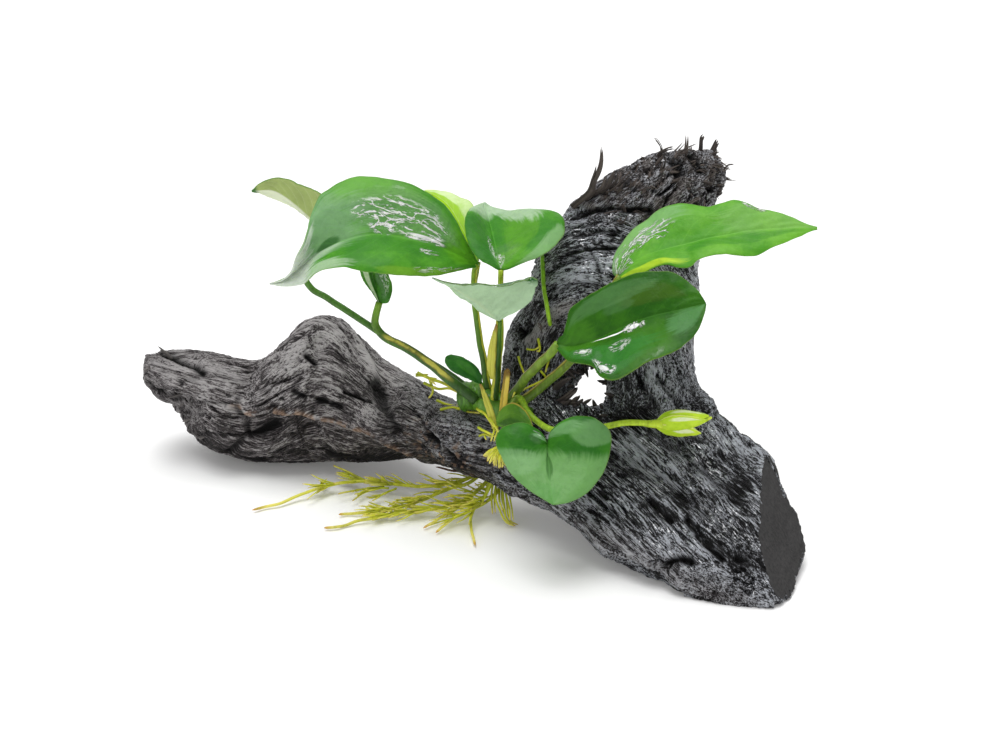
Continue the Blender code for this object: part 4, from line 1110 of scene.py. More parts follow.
def leaf_top(name, deep, fresh, tints_and_painted_light=(), wet=(), painted_and_wet_glints=(), painted_sheen=(), matt=0.34, second=None, rim=None):
    """The waxy upper side: clouds of two greens, fine veins, painted sheen and glints, and water where it is
    wet.

    A tint is a spot, a colour and a strength; some tints are painted sheen, and the white ones painted
    highlights.
    A wet place and a place of glints are a spot and a strength; the glints are painted white under a coat of
    water.
    A painted sheen is a ball in space, as its centre and half-sizes, with a colour and a strength. second
    colours the second half of the blade, and rim its first edge.
    """
    s = Shader(name, coat_roughness=0.07, coat_ior=1.9, specular=0.16, softness=0.10)
    along, across, reach = blade_axes(s)
    here = s.place()
    clouds = s.noise(here, 75.0, 5.0, 0.62)
    mottle = s.noise(here, 520.0, 4.0, 0.6)
    colour = s.mix(s.within(clouds, 0.36, 0.66), deep, fresh)
    streaks = s.noise(s.stretch(s.uv(), (3.0, 34.0, 1.0)), 1.0, 4.0, 0.6)
    ragged = s.times(s.minus(s.noise(here, 150.0, 5.0, 0.65), 0.5), 1.6)
    drawn = s.scaled(s.minus(streaks, 0.5), 1.8, s.times(ragged, 0.6))
    if second is not None:
        other = s.within(s.scaled(ragged, 0.06, across), 0.49, 0.53)
        colour = s.mix(other, colour, second)
    # Painted sheen: the colour inside balls of space is mixed toward a paler one
    for centre, sizes, tint, strength in painted_sheen:
        colour = s.mix(s.times(s.ball(centre, sizes, drawn), strength), colour, tint)
    # Tints: the blade's own colours, and painted sheen and highlights
    for spot, tint, strength in tints_and_painted_light:
        inside = patch(s, along, across, drawn, spot)
        colour = s.mix(s.times(inside, strength), colour, tint)
    pale = tinted(fresh, 1.5, 0.02)
    colour = s.mix(s.times(veins(s, along, reach, 0.2), 0.10), colour, pale)
    rib = s.flipped(s.within(reach, 0.0, 0.03))
    colour = s.mix(s.times(rib, 0.25), colour, pale)
    margin = s.within(reach, 0.975, 1.0)
    colour = s.mix(s.times(margin, 0.4), colour, (0.25, 0.40, 0.08))
    if rim is not None:
        edge = s.flipped(s.within(s.scaled(ragged, 0.02, across), 0.05, 0.085))
        colour = s.mix(edge, colour, rim)
    colour = s.mix(s.times(s.within(mottle, 0.45, 0.75), 0.16), colour, tinted(deep, 0.5))
    water = 0.0
    for spot, strength in wet:
        soaked = s.times(patch(s, along, across, ragged, spot), strength)
        water = s.calculate("MAXIMUM", water, soaked)
    ripples = s.noise(here, 330.0, 5.0, 0.6, 1.4)
    # Painted glints: white painted into the colour in broken lines, with a coat of water over them
    if painted_and_wet_glints:
        curls = s.noise(s.stretch(s.uv(), (8.0, 9.0, 1.0)), 1.0, 4.0, 0.62, 0.6)
        off = s.calculate("ABSOLUTE", s.minus(curls, 0.5))
        lines = s.flipped(s.within(off, 0.010, 0.034))
        flecks = s.noise(s.stretch(s.uv(), (15.0, 30.0, 1.0)), 1.0, 5.0, 0.7, 0.4)
        lines = s.calculate("MAXIMUM", lines, s.within(flecks, 0.55, 0.59))
        for spot, strength in painted_and_wet_glints:
            shine = s.times(s.times(patch(s, along, across, ragged, spot), lines), strength)
            water = s.calculate("MAXIMUM", water, shine)
            colour = s.mix(s.times(shine, 0.95), colour, (1.0, 1.0, 1.0))
    s.put("Base Color", colour)
    s.put("Roughness", s.scaled(mottle, 0.15, matt))
    s.put("Coat Weight", water)
    lift = s.scaled(water, 1.6, 0.35)
    height = s.scaled(mottle, 0.25, s.times(ripples, lift))
    s.put("Normal", s.bump(height, 0.0006))
    return s.material


def leaf_under(name, colour, rib_colour=(0.32, 0.42, 0.20), second=None, tip=None, glow=0.1, rim=None):
    """The paler, satin underside with its raised rib. tip colours its end, and rim its first edge, which has
    painted glints.
    """
    s = Shader(name, specular=0.2, softness=glow)
    along, across, reach = blade_axes(s)
    here = s.place()
    clouds = s.noise(here, 110.0, 5.0, 0.62)
    made = s.mix(s.within(clouds, 0.34, 0.7), tinted(colour, 0.8), colour)
    if second is not None:
        other = s.within(s.scaled(clouds, 0.16, across), 0.56, 0.62)
        made = s.mix(other, made, second)
    made = s.mix(s.times(veins(s, along, reach, 0.2), 0.16), made, rib_colour)
    if tip is not None:
        end = s.within(s.scaled(clouds, 0.12, along), 0.98, 1.04)
        made = s.mix(end, made, tip)
    ribbed = s.flipped(s.within(reach, 0.0, 0.08))
    made = s.mix(s.times(ribbed, 0.7), made, rib_colour)
    if rim is not None:
        edge = s.flipped(s.within(s.scaled(clouds, 0.10, across), 0.10, 0.13))
        edge = s.times(edge, s.within(along, 0.35, 0.42))
        # Painted glints of pale green on the rim
        painted_sparkle = s.within(s.noise(here, 900.0, 3.0, 0.6), 0.56, 0.62)
        made = s.mix(edge, made, s.mix(painted_sparkle, rim, (0.7, 0.8, 0.7)))
    s.put("Base Color", made)
    s.put("Roughness", 0.45)
    s.put("Normal", s.bump(s.noise(here, 900.0, 4.0, 0.6), 0.00025))
    return s.material


# Leaf blades, as meshes


def spread(points, count):
    """So many points, evenly spaced along the smooth curve through the given ones."""
    path = through(points, 10)
    lengths = [0.0]
    for p, q in zip(path, path[1:]):
        lengths.append(lengths[-1] + (q - p).length)
    spaced = []
    at = 0
    for i in range(count):
        goal = lengths[-1] * i / (count - 1)
        while at < len(path) - 2 and lengths[at + 1] < goal:
            at += 1
        share = (goal - lengths[at]) / max(1e-9, lengths[at + 1] - lengths[at])
        spaced.append(path[at].lerp(path[at + 1], min(1.0, share)))
    return spaced


def blade_relief(along, reach, width, leaf, seed):
    """Fine height of a blade above its smooth surface, in millimetres: rib, veins and wrinkles."""
    from_rib = reach * width
    groove = leaf.get("groove", 0.15)
    height = groove * (0.4 * math.exp(-(((from_rib - 1.2) / 0.7) ** 2)) - math.exp(-((from_rib / 0.6) ** 2)))
    vein = (along - VEIN_SLANT * reach**0.85) * leaf.get("veins", 9)
    height += 0.07 * math.cos(2 * math.pi * vein) * min(1.0, 4 * reach) * (1 - reach**4)
    spot = Vector((along * 6, from_rib / 9, seed))
    height += leaf.get("rough", 0.45) * noise.noise(spot) * min(1.0, 3 * reach)
    height += 0.16 * noise.noise(spot * 4) * reach
    return height


def crinkle(leaf, along, reach, side):
    """How far the edge of a blade ripples. A blade with a crinkled edge has it on its first half."""
    if side == 1 and leaf.get("crinkle", 0) > 0.5:
        return 0.0
    depth = leaf.get("crinkle", 0.3) * smooth(0.8, 1.0, reach) * math.sin(math.pi * along)
    return depth * noise.noise(Vector((along * 26, side, reach * 2)))


def blade_mesh(leaf, seed):
    """A blade's smooth sheet between its midrib and its two edges, in the design frame, and its grid."""
    length = sum((Vector(q) - Vector(p)).length for p, q in zip(leaf["rib"], leaf["rib"][1:]))
    rows = max(LEAST_ROWS, int(length * ROWS_PER_MM))
    rib = spread(leaf["rib"], rows)
    edges = [spread(leaf["first"], rows), spread(leaf["second"], rows)]
    widest = max((edge - r).length for side in edges for edge, r in zip(side, rib))
    columns = 2 * max(LEAST_COLUMNS, int(widest * COLUMNS_PER_MM))
    hint = Vector(leaf["face"])
    bm = bmesh.new()
    uv = bm.loops.layers.uv.new("blade")
    bmesh.ops.create_grid(bm, x_segments=rows - 1, y_segments=columns, size=1.0)
    for face in bm.faces:
        face.smooth = True
        for loop in face.loops:
            loop[uv].uv = ((loop.vert.co.x + 1) / 2, (1 - loop.vert.co.y) / 2)
    facing = []
    for i in range(rows):
        onward = rib[min(i + 1, rows - 1)] - rib[max(i - 1, 0)]
        across = edges[1][i] - edges[0][i]
        up = onward.cross(across)
        if up.length < 1e-6:
            up = hint.copy()
        facing.append(up.normalized() * (1 if up.dot(hint) > 0 else -1))
    around = zip([facing[0]] + facing, facing, facing[1:] + [facing[-1]])
    facing = [(before + own + after).normalized() for before, own, after in around]
    for v in bm.verts:
        along = (v.co.x + 1) / 2
        reach = abs(v.co.y)
        row = min(rows - 1, round(along * (rows - 1)))
        side = 0 if v.co.y > 0 else 1
        out = edges[side][row] - rib[row]
        width = out.length
        bulge = leaf["bulge"] * width * FULL_BULGE * reach**2 * (1 - reach)
        fade = min(1.0, 12 * along, 12 * (1 - along) + 0.1)
        height = bulge + fade * blade_relief(along, reach, width, leaf, seed + 7 * side)
        height += crinkle(leaf, along, reach, side)
        margin = 0.18 * noise.noise(Vector((along * 18, seed, 5 * side))) * reach**3 * fade
        sideways = out.normalized() * margin if width > 1e-6 else Vector()
        v.co = rib[row] + out * reach + sideways + facing[row] * height
    bm.normal_update()
    towards = Vector()
    for face in bm.faces:
        towards += face.normal * face.calc_area()
    if towards.dot(hint) < 0:
        bmesh.ops.reverse_faces(bm, faces=bm.faces)
    return bm


def blade(name, leaf, top, under, seed, slot="leaf_green", nodes=()):
    """One leaf blade with its rib, veins and thickness. Its two sides have finishes of their own."""
    bm = blade_mesh(leaf, seed)
    for v in bm.verts:
        v.co = place(v.co)
    piece = new_object(name, bm, top, under)
    thickness = piece.modifiers.new("thickness", "SOLIDIFY")
    thickness.thickness = leaf.get("thickness", BLADE_THICKNESS) * MM
    thickness.offset = 0.0
    thickness.material_offset = 1
    return finished(piece, slot, *nodes)


def leaves():
    looks = {
        "broad_left": (
            leaf_top(
                "broad leaf", (0.045, 0.22, 0.014), (0.095, 0.34, 0.022),
                [
                    # The pale grey-green tints are painted sheen, and the white one is a painted highlight
                    ((0.80, 0.30, 0.30, 0.36), (0.26, 0.42, 0.25), 0.6),
                    ((0.84, 0.92, 0.22, 0.16), (0.45, 0.60, 0.40), 0.7),
                    ((0.84, 0.14, 0.12, 0.10), (0.62, 0.72, 0.60), 0.8),
                    ((0.80, 0.58, 0.18, 0.12), (0.50, 0.62, 0.47), 0.7),
                    ((0.96, 0.5, 0.18, 0.9), (0.66, 0.72, 0.64), 0.9),
                    ((0.70, 0.46, 0.06, 0.06), (0.02, 0.12, 0.014), 0.8),
                    ((0.08, 0.42, 0.10, 0.4), (0.14, 0.40, 0.012), 0.45),
                    ((0.34, 0.30, 0.24, 0.22), (0.16, 0.36, 0.12), 0.45),
                    ((0.30, 0.97, 0.22, 0.06), (0.22, 0.44, 0.03), 0.5),
                    ((0.48, 0.64, 0.26, 0.12), (0.035, 0.20, 0.012), 0.6),
                    ((0.46, 0.10, 0.18, 0.12), (0.20, 0.44, 0.10), 0.35),
                    ((0.27, 0.46, 0.09, 0.018), (1.0, 1.0, 1.0), 1.0),
                ],
                [((0.34, 0.30, 0.22, 0.22), 0.5)],
                # Places of painted glints
                [
                    ((0.36, 0.32, 0.19, 0.15), 1.0), ((0.28, 0.46, 0.11, 0.055), 1.0),
                    ((0.26, 0.66, 0.05, 0.05), 0.9),
                    ((0.45, 0.42, 0.06, 0.08), 1.0), ((0.84, 0.25, 0.07, 0.16), 0.5),
                    ((0.22, 0.93, 0.14, 0.04), 0.4),
                ],
            ),
            leaf_under("broad leaf below", (0.18, 0.40, 0.05)),
        ),
        "back_left": (
            leaf_top("back leaf", (0.04, 0.15, 0.015), (0.08, 0.24, 0.03)),
            leaf_under(
                "back leaf below", (0.42, 0.52, 0.17), (0.85, 0.87, 0.72), second=(0.78, 0.84, 0.62),
                tip=(0.06, 0.18, 0.04), glow=0.05,
            ),
        ),
        "folded": (
            leaf_top(
                "folded leaf", (0.04, 0.18, 0.015), (0.10, 0.32, 0.03),
                [((0.5, 0.22, 0.6, 0.12), (0.62, 0.72, 0.52), 0.9),
                 ((0.5, 0.46, 0.6, 0.10), (0.02, 0.09, 0.01), 0.8)],
                [((0.6, 0.8, 0.4, 0.25), 0.6)],
                [((0.6, 0.85, 0.35, 0.12), 0.6)],
            ),
            leaf_under("folded leaf below", (0.40, 0.54, 0.30)),
        ),
        "back_middle": (
            leaf_top(
                # The pale greens of the whole blade are painted sheen; second gives the lime of the second
                # half
                "lime leaf", (0.45, 0.68, 0.18), (0.64, 0.80, 0.40),
                [((0.5, 0.44, 0.7, 0.12), (0.30, 0.56, 0.006), 0.9)],
                second=(0.36, 0.64, 0.012), matt=0.5,
            ),
            leaf_under("lime leaf below", (0.50, 0.68, 0.18)),
        ),
        "upper_middle": (
            leaf_top(
                "upper leaf", (0.035, 0.20, 0.012), (0.075, 0.30, 0.016),
                [
                    # The pale grey-green tints are painted sheen along the edges
                    ((0.10, 0.30, 0.14, 0.3), (0.14, 0.42, 0.02), 0.5),
                    ((0.35, 0.80, 0.4, 0.22), (0.025, 0.15, 0.014), 0.65),
                    ((0.45, 0.30, 0.3, 0.12), (0.14, 0.38, 0.02), 0.4),
                    ((0.27, 0.03, 0.18, 0.08), (0.28, 0.48, 0.22), 0.6),
                    ((0.78, 0.20, 0.24, 0.18), (0.40, 0.56, 0.36), 0.85),
                    ((0.94, 0.3, 0.12, 0.4), (0.40, 0.56, 0.36), 0.85),
                ],
                [((0.14, 0.45, 0.18, 0.22), 0.5)],
                [((0.10, 0.48, 0.10, 0.10), 0.8), ((0.30, 0.60, 0.16, 0.04), 0.5)],
                # Painted sheen along the far edge
                [((-4, 33, 95), (11, 13.5, 40), (0.42, 0.57, 0.38), 0.8),
                 ((-1, 24, 96), (6, 6, 8), (0.40, 0.56, 0.36), 0.5)],
            ),
            leaf_under("upper leaf below", (0.20, 0.44, 0.05)),
        ),
        "lower_middle": (
            leaf_top("lower leaf", (0.012, 0.09, 0.012), (0.03, 0.15, 0.018), [],
                     [((0.6, 0.1, 0.5, 0.2), 1.0)]),
            leaf_under("lower leaf below", (0.48, 0.68, 0.43), (0.5, 0.64, 0.4),
                       glow=0.05, rim=(0.02, 0.11, 0.02)),
        ),
        "round": (
            leaf_top(
                "round leaf", (0.015, 0.095, 0.003), (0.04, 0.165, 0.006),
                [
                    ((0.15, 0.5, 0.14, 0.4), (0.07, 0.24, 0.015), 0.5),
                    ((0.66, 0.24, 0.20, 0.12), (0.05, 0.12, 0.008), 0.7),
                    ((0.35, 0.78, 0.34, 0.16), (0.035, 0.20, 0.03), 0.7),
                    ((0.42, 0.14, 0.28, 0.10), (0.09, 0.22, 0.07), 0.6),
                    ((0.46, 0.28, 0.10, 0.07), (0.10, 0.24, 0.08), 0.35),
                    ((0.86, 0.70, 0.14, 0.18), (0.10, 0.28, 0.09), 0.6),
                    # Painted highlights: white streaks and spots along the rib and on the lower half
                    ((0.37, 0.545, 0.13, 0.008), (1.0, 1.0, 1.0), 1.0),
                    ((0.54, 0.55, 0.035, 0.028), (1.0, 1.0, 1.0), 0.9),
                    ((0.20, 0.73, 0.030, 0.05), (1.0, 1.0, 1.0), 0.9),
                    ((0.37, 0.90, 0.035, 0.030), (1.0, 1.0, 1.0), 0.8),
                ],
                [((0.22, 0.78, 0.12, 0.14), 0.5), ((0.52, 0.92, 0.16, 0.08), 0.3)],
                [
                    ((0.54, 0.55, 0.07, 0.05), 1.0), ((0.20, 0.74, 0.06, 0.10), 1.0),
                    ((0.36, 0.90, 0.08, 0.06), 1.0),
                    ((0.45, 0.68, 0.07, 0.05), 0.5),
                ],
            ),
            leaf_under("round leaf below", (0.12, 0.30, 0.04)),
        ),
        "long_right": (
            leaf_top(
                "long leaf", (0.075, 0.30, 0.018), (0.15, 0.42, 0.035),
                [
                    ((0.14, 0.88, 0.20, 0.10), (0.45, 0.66, 0.03), 0.9),
                    ((0.62, 0.66, 0.3, 0.12), (0.04, 0.22, 0.014), 0.55),
                    ((0.80, 0.3, 0.25, 0.3), (0.24, 0.48, 0.12), 0.5),
                    ((0.22, 0.10, 0.25, 0.14), (0.26, 0.48, 0.20), 0.6),
                ],
                [],
                [((0.20, 0.22, 0.17, 0.12), 0.9), ((0.74, 0.05, 0.05, 0.07), 1.0),
                 ((0.06, 0.3, 0.05, 0.3), 0.7)],
            ),
            leaf_under("long leaf below", (0.26, 0.52, 0.06)),
        ),
        "heart": (
            leaf_top(
                "heart leaf", (0.020, 0.13, 0.010), (0.045, 0.21, 0.013),
                [
                    # The first two tints, pale streaks on the lobes, are painted sheen
                    ((0.16, 0.16, 0.16, 0.10), (0.20, 0.40, 0.17), 0.6),
                    ((0.10, 0.80, 0.10, 0.06), (0.22, 0.44, 0.20), 0.7),
                    ((0.34, 0.5, 0.26, 0.035), (0.02, 0.10, 0.01), 0.6),
                    ((0.88, 0.62, 0.2, 0.3), (0.07, 0.27, 0.04), 0.4),
                ],
                [((0.14, 0.75, 0.12, 0.10), 0.5)],
                [((0.10, 0.86, 0.08, 0.05), 0.4)],
                [
                    # Painted sheen: the lower half of the blade is lighter, and two bands on the lobes
                    ((21, -44, 31), (60, 60, 10.2), (0.18, 0.38, 0.125), 0.75),
                    ((10, -35, 39.0), (9, 12, 3.4), (0.24, 0.44, 0.20), 0.45),
                    ((35, -33, 46.5), (8, 12, 3.4), (0.20, 0.40, 0.16), 0.5),
                ],
            ),
            leaf_under("heart leaf below", (0.16, 0.34, 0.08)),
        ),
        "small_dark": (
            leaf_top(
                "small leaf", (0.012, 0.09, 0.010), (0.03, 0.15, 0.016),
                [((0.5, 0.4, 0.3, 0.25), (0.05, 0.21, 0.02), 0.6)]
            ),
            leaf_under("small leaf below", (0.04, 0.14, 0.02)),
        ),
        "tucked": (
            leaf_top(
                "tucked leaf", (0.05, 0.15, 0.012), (0.12, 0.28, 0.02),
                [((0.5, 0.8, 0.4, 0.15), (0.02, 0.08, 0.01), 0.7)],
                rim=(0.42, 0.34, 0.05),
            ),
            leaf_under("tucked leaf below", (0.18, 0.28, 0.04)),
        ),
    }
    for seed, (name, leaf) in enumerate(LEAVES.items()):
        top, under = looks[name]
        blade("blade_" + name, leaf, top, under, 3.7 * seed + 1, nodes=["leaf_" + name])


# Stalks, sheaths and roots


class Strands:
    """Round strands gathered in one mesh, with attributes for their finish.

    along runs from 0 at a strand's foot to 1 at its tip, tone is the strand's own, and strip is how far
    its surface faces the given side.
    """

    LAYERS = ("along", "tone", "strip")
    RIDGES = 3

    def __init__(self):
        self.all = bmesh.new()
        for name in self.LAYERS:
            self.all.verts.layers.float.new(name)

    def add(self, path, radii, sides=8, squash=1.0, tone=0.0, ridges=0.0, towards=(0, 0, 1)):
        """A closed strand along a path."""
        bm = bmesh.new()
        along, toned, strip = [bm.verts.layers.float.new(name) for name in self.LAYERS]
        last = len(path) - 1
        turn = Quaternion()
        before = []
        for i, (point, radius) in enumerate(zip(path, radii)):
            onward = path[min(i + 1, last)] - path[max(i - 1, 0)]
            turn = (turn @ Vector((0, 0, 1))).rotation_difference(onward) @ turn
            ring = bmesh.ops.create_circle(bm, cap_ends=i in (0, last), segments=sides, radius=1.0)["verts"]
            edges = list({e for v in ring for e in v.link_edges})
            for n, v in enumerate(ring):
                swell = radius * (1 + ridges * math.cos(self.RIDGES * 2 * math.pi * n / sides))
                out = turn @ Vector((v.co.x, v.co.y, 0))
                v.co = place(point + turn @ Vector((v.co.x * swell, v.co.y * swell * squash, 0)))
                v[along] = i / last
                v[toned] = tone
                v[strip] = out.dot(Vector(towards))
            if before:
                bmesh.ops.bridge_loops(bm, edges=before + edges)
            before = edges
        bmesh.ops.recalc_face_normals(bm, faces=bm.faces)
        for face in bm.faces:
            face.smooth = True
        one = bpy.data.meshes.new("strand")
        bm.to_mesh(one)
        bm.free()
        self.all.from_mesh(one)
        bpy.data.meshes.remove(one)

    def piece(self, name, material):
        """All the strands as one piece of one material."""
        return new_object(name, self.all, material)


def tapered(count, radius, taper, tip):
    """Radii along a strand, which taper to its end and are drawn to a point over the tip."""
    radii = []
    for i in range(count):
        share = i / (count - 1)
        r = radius * (1 + (taper - 1) * share)
        if share > 1 - tip:
            r *= math.sqrt(max(0.02, 1 - ((share - 1 + tip) / tip) ** 2))
        radii.append(r)
    return radii


# Blender's vector noise starts from the clock unless it is given a seed
noise.seed_set(1)


def wavered(path, amount, seed):
    """The path with a slight wander, as living strands have."""
    return [p + amount * noise.noise_vector(p / 5 + Vector((seed, 0, 0))) for p in path]


# The window of a strip that runs from end to end
WHOLE_LENGTH = (-0.2, 1.2)


def stalk_finish(name, foot, middle, top, strip=None, window=WHOLE_LENGTH, narrow=0.85):
    """A stalk's skin: its colour runs from foot to blade, with fine lines.

    A strip runs along one side, within a window of its length. The higher narrow is, the narrower it is.
    """
    s = Shader(name, coat=0.12, coat_roughness=0.08, specular=0.25, softness=0.1)
    along = s.attribute("along")
    colour = s.ramp(along, (0.0, foot), (0.4, middle), (1.0, top))
    clouds = s.noise(s.place(), 260.0, 4.0, 0.6)
    colour = s.mix(s.within(clouds, 0.4, 0.85), colour, tinted(middle, 0.5))
    lines = s.noise(s.stretch(s.place(), (1.0, 1.0, 0.12)), 1300.0, 3.0)
    colour = s.mix(s.times(s.within(lines, 0.5, 0.68), 0.35), colour, tinted(middle, 0.35))
    colour = s.mix(s.times(s.within(lines, 0.48, 0.34), 0.3), colour, tinted(middle, 1.8))
    if strip is not None:
        ragged = s.scaled(clouds, 0.5, s.attribute("strip"))
        start, end = window
        inside = s.times(s.within(along, start, start + 0.08), s.within(along, end, end - 0.08))
        edge = s.times(s.within(ragged, narrow - 0.12, narrow), inside)
        colour = s.mix(s.times(edge, 0.8), colour, tinted(strip, 0.35))
        middle_of_strip = s.times(s.within(ragged, narrow, narrow + 0.12), inside)
        colour = s.mix(middle_of_strip, colour, strip)
    s.put("Base Color", colour)
    s.put("Roughness", 0.34)
    s.put("Normal", s.bump(lines, 0.0002))
    return s.material


def root_finish():
    """Yellow-green roots, each of its own tone, with paler tips and brown ends."""
    s = Shader("root skin", coat=0.1, coat_roughness=0.1, specular=0.25, softness=0.1)
    along = s.attribute("along")
    colour = s.ramp(
        along, (0.0, (0.46, 0.54, 0.025)), (0.6, (0.74, 0.76, 0.05)),
        (0.93, (0.92, 0.82, 0.20)), (1.0, (0.6, 0.22, 0.03)),
    )
    clouds = s.noise(s.place(), 330.0, 4.0, 0.6)
    olive = s.scaled(s.attribute("tone"), 0.45, s.times(s.within(clouds, 0.5, 0.72), 0.5))
    s.put("Base Color", s.mix(olive, colour, (0.24, 0.25, 0.02)))
    s.put("Roughness", 0.38)
    s.put("Normal", s.bump(s.noise(s.place(), 1400.0, 4.0, 0.6), 0.0002))
    return s.material


def sheath_finish():
    """Papery yellow sheaths, brown where they have dried."""
    s = Shader("papery sheath", specular=0.3, softness=0.1)
    along, _, reach = blade_axes(s)
    lines = s.noise(s.stretch(s.uv(), (1.5, 22.0, 1.0)), 1.0, 4.0, 0.6)
    colour = s.ramp(lines, (0.3, (0.46, 0.46, 0.04)), (0.7, (0.78, 0.76, 0.14)))
    dried = s.scaled(s.noise(s.place(), 420.0, 3.0), 0.25, along)
    colour = s.mix(s.within(dried, 0.95, 1.15), colour, (0.27, 0.10, 0.03))
    colour = s.mix(s.times(s.within(reach, 0.8, 1.0), 0.6), colour, (0.30, 0.17, 0.05))
    s.put("Base Color", colour)
    s.put("Roughness", 0.45)
    s.put("Normal", s.bump(lines, 0.0002))
    return s.material


# Each stalk's finish, its radius at the foot and at the blade, the side that its strip is on, and its path
STALKS = {
    "broad_left": ("green", 1.35, 0.85, (1, -0.2, 0), [
        (2.5, 1, 44.5), (1.3, 2, 52.2), (0, 3, 60.2), (-1.3, 5, 69.5), (-1.8, 6, 75.8), (-1.6, 7, 81.5),
        (-0.6, 7, 83.7),
    ]),
    "back_left": ("plain", 1.15, 1.0, (0, -0.3, 1), [
        (-0.7, 5, 39.8), (-9.4, 8, 46), (-18.9, 11, 51.1), (-28.3, 14, 55.6), (-37.8, 17.5, 60.9),
        (-47.2, 20, 66.4), (-53.1, 21.5, 69.8), (-54.8, 22, 74), (-52, 22, 81), (-46.3, 22, 87),
    ]),
    "folded": ("sheathed", 1.9, 1.1, (-0.3, -0.6, 0.75), [
        (-1.2, -1, 41.6), (-7.8, 0, 46.6), (-15.5, 3, 52.1), (-23.3, 5, 57), (-29.5, 6, 59.9),
        (-32.3, 7, 63.2), (-32.2, 7.6, 66.7), (-31.1, 8, 70.8),
    ]),
    "back_middle": ("green", 1.1, 0.85, (1, 0, 0), [
        (2.5, 4, 43.5), (1.3, 6.5, 50.1), (0, 7.8, 58), (-1.3, 9.8, 67.3), (-1.8, 10.8, 73.6),
        (-1.2, 12, 79.8), (-0.6, 12.5, 82.5),
    ]),
    "upper_middle": ("bright", 1.15, 0.85, (1, 0, 0), [
        (5.3, -1, 44.5), (5.9, -1.5, 55.5), (6.4, -2.5, 66.1), (6.2, -3, 76.3), (6.5, -4, 86.8),
    ]),
    "lower_middle": ("dark", 1.35, 0.9, (-1, -0.3, 0),
                     [(4.7, -4, 43.5), (5.3, -7.5, 58.2), (5.6, -9, 65.6), (5.9, -10, 72.4)]),
    "round": ("olive", 1.6, 1.4, (-0.5, 0, 0.85),
              [(9.4, -3.2, 43), (15, -9, 54), (21, -12.8, 62.5), (23.7, -14, 66.5)]),
    "long_right": ("olive", 1.7, 1.2, (-0.7, 0, 0.7), [
        (12.5, -3.5, 41.5), (20, -5, 49), (28, -7, 58), (34, -7, 68), (38, -6, 77), (42.6, -4.4, 84.9),
    ]),
    "heart": ("green", 1.2, 1.05, (0, 0, 1), [
        (8.8, -9.4, 35.7), (12.5, -19, 35.3), (17.6, -26, 37.3), (20, -30.4, 40), (20.4, -31.4, 41),
    ]),
    "small_dark": ("dark", 0.9, 0.7, (0, 0, 1),
                   [(0.6, -2.4, 43.4), (0.1, -4.6, 45.2), (0.0, -6.3, 47.9), (0.3, -7, 50)]),
}

# Colours of a stalk at its foot, middle and top, and of its strip, then the strip's window and narrowness
YELLOW_STRIP = (0.58, 0.60, 0.05)
STALK_COLOURS = {
    "green": [(0.04, 0.11, 0.014), (0.10, 0.22, 0.018), (0.38, 0.56, 0.03), YELLOW_STRIP],
    "bright": [(0.06, 0.16, 0.014), (0.20, 0.38, 0.02), (0.46, 0.62, 0.04), YELLOW_STRIP],
    "dark": [(0.035, 0.10, 0.012), (0.045, 0.13, 0.014), (0.11, 0.27, 0.02), YELLOW_STRIP],
    "plain": [(0.035, 0.10, 0.012), (0.06, 0.16, 0.02), (0.09, 0.22, 0.03)],
    "sheathed": [
        (0.03, 0.09, 0.012), (0.045, 0.13, 0.014), (0.20, 0.38, 0.02), (0.62, 0.58, 0.10), (0.14, 0.62), 1.0,
    ],
    "olive": [
        (0.10, 0.20, 0.018), (0.19, 0.31, 0.03), (0.21, 0.36, 0.035), (0.34, 0.30, 0.05), WHOLE_LENGTH, 1.05,
    ],
}

# Paths of the creeping stem and of the cut stub
CREEPING_STEM = [(-5, 5, 40), (0, 3, 41), (7, -1, 39), (13, -5, 37)]
CUT_STUB = [(7.2, -9, 39.5), (7.2, -11.5, 42.7), (7.5, -11, 47), (8.1, -10, 51.6), (8.5, -9, 56.2)]

